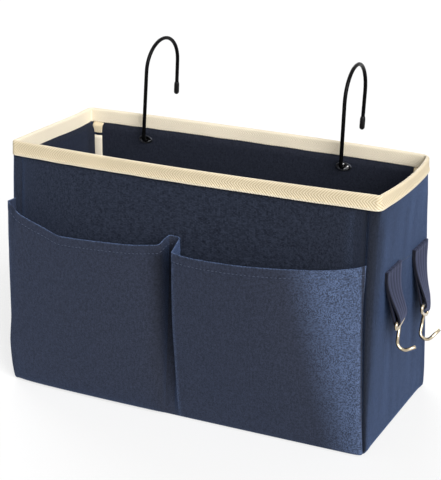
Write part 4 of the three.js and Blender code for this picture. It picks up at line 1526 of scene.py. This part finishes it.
def seen_directly(add):
    """1 where the camera looks at the background, also in metal or through glass, and 0 for its light."""
    rays = add("LightPath").outputs
    mirrored = add("Math", {0: rays["Is Glossy Ray"], 1: rays["Is Transmission Ray"]}, operation="MAXIMUM")
    return add("Math", {0: rays["Is Camera Ray"], 1: mirrored}, operation="MAXIMUM")


def studio_floor():
    """White paper that shows the shadow and is lifted to white where the camera sees it."""
    bm = bmesh.new()
    bmesh.ops.create_grid(bm, x_segments=1, y_segments=1, size=FLOOR_SIZE)
    mesh = bpy.data.meshes.new("studio_floor")
    bm.to_mesh(mesh)
    bm.free()
    material, add, surface = new_material("white_paper_sweep")
    material.node_tree.nodes.remove(surface)
    paper = add("BsdfDiffuse", {"Color": linear("#a8a8a8")})
    lift = add("Emission", {"Color": WHITE, "Strength": FLOOR_LIFT})
    seen_paper = add("AddShader", {0: paper, 1: lift})
    mixed = add("MixShader", {0: seen_directly(add), 1: paper, 2: seen_paper})
    feed(material.node_tree.nodes["Material Output"], {"Surface": mixed})
    mesh.materials.append(material)
    floor = bpy.data.objects.new("studio_floor", mesh)
    bpy.context.scene.collection.objects.link(floor)


def sun(name, location, angle, power):
    """A soft sun aimed at the object: the wider its angle, the softer its shadows."""
    light = bpy.data.lights.new(name, "SUN")
    light.angle = angle
    light.energy = power
    lamp = bpy.data.objects.new(name, light)
    lamp.location = location
    lamp.rotation_euler = (AIM - Vector(location)).to_track_quat("-Z", "Y").to_euler()
    bpy.context.scene.collection.objects.link(lamp)


def studio_world():
    """White to look at, and a dim even light."""
    world = bpy.data.worlds.new("white_studio")
    bpy.context.scene.world = world
    world.use_nodes = True
    add = partial(add_node, world.node_tree)
    strength = add("MapRange", {0: seen_directly(add), 3: WORLD_LIGHT, 4: 1.0})
    feed(world.node_tree.nodes["Background"], {"Color": WHITE, "Strength": strength})


def camera():
    """The view that the object was photographed from."""
    lens = bpy.data.cameras.new("camera")
    lens.sensor_fit = "VERTICAL"
    lens.sensor_height = 36.0
    lens.lens = 105.08
    eye = bpy.data.objects.new("camera", lens)
    eye.location = (0.5041, -1.0104, 0.5449)
    target = Vector((0.0021, 0.0, 0.1333))
    eye.rotation_euler = (target - eye.location).to_track_quat("-Z", "Y").to_euler()
    bpy.context.scene.collection.objects.link(eye)
    bpy.context.scene.camera = eye


studio_floor()
studio_world()
sun("key_light", (1.66, -1.39, 1.35), 0.8, 3.9)
sun("back_fill", (-1.55, 1.72, 1.05), 0.9, 1.9)
camera()
bpy.context.scene.view_settings.view_transform = "Standard"
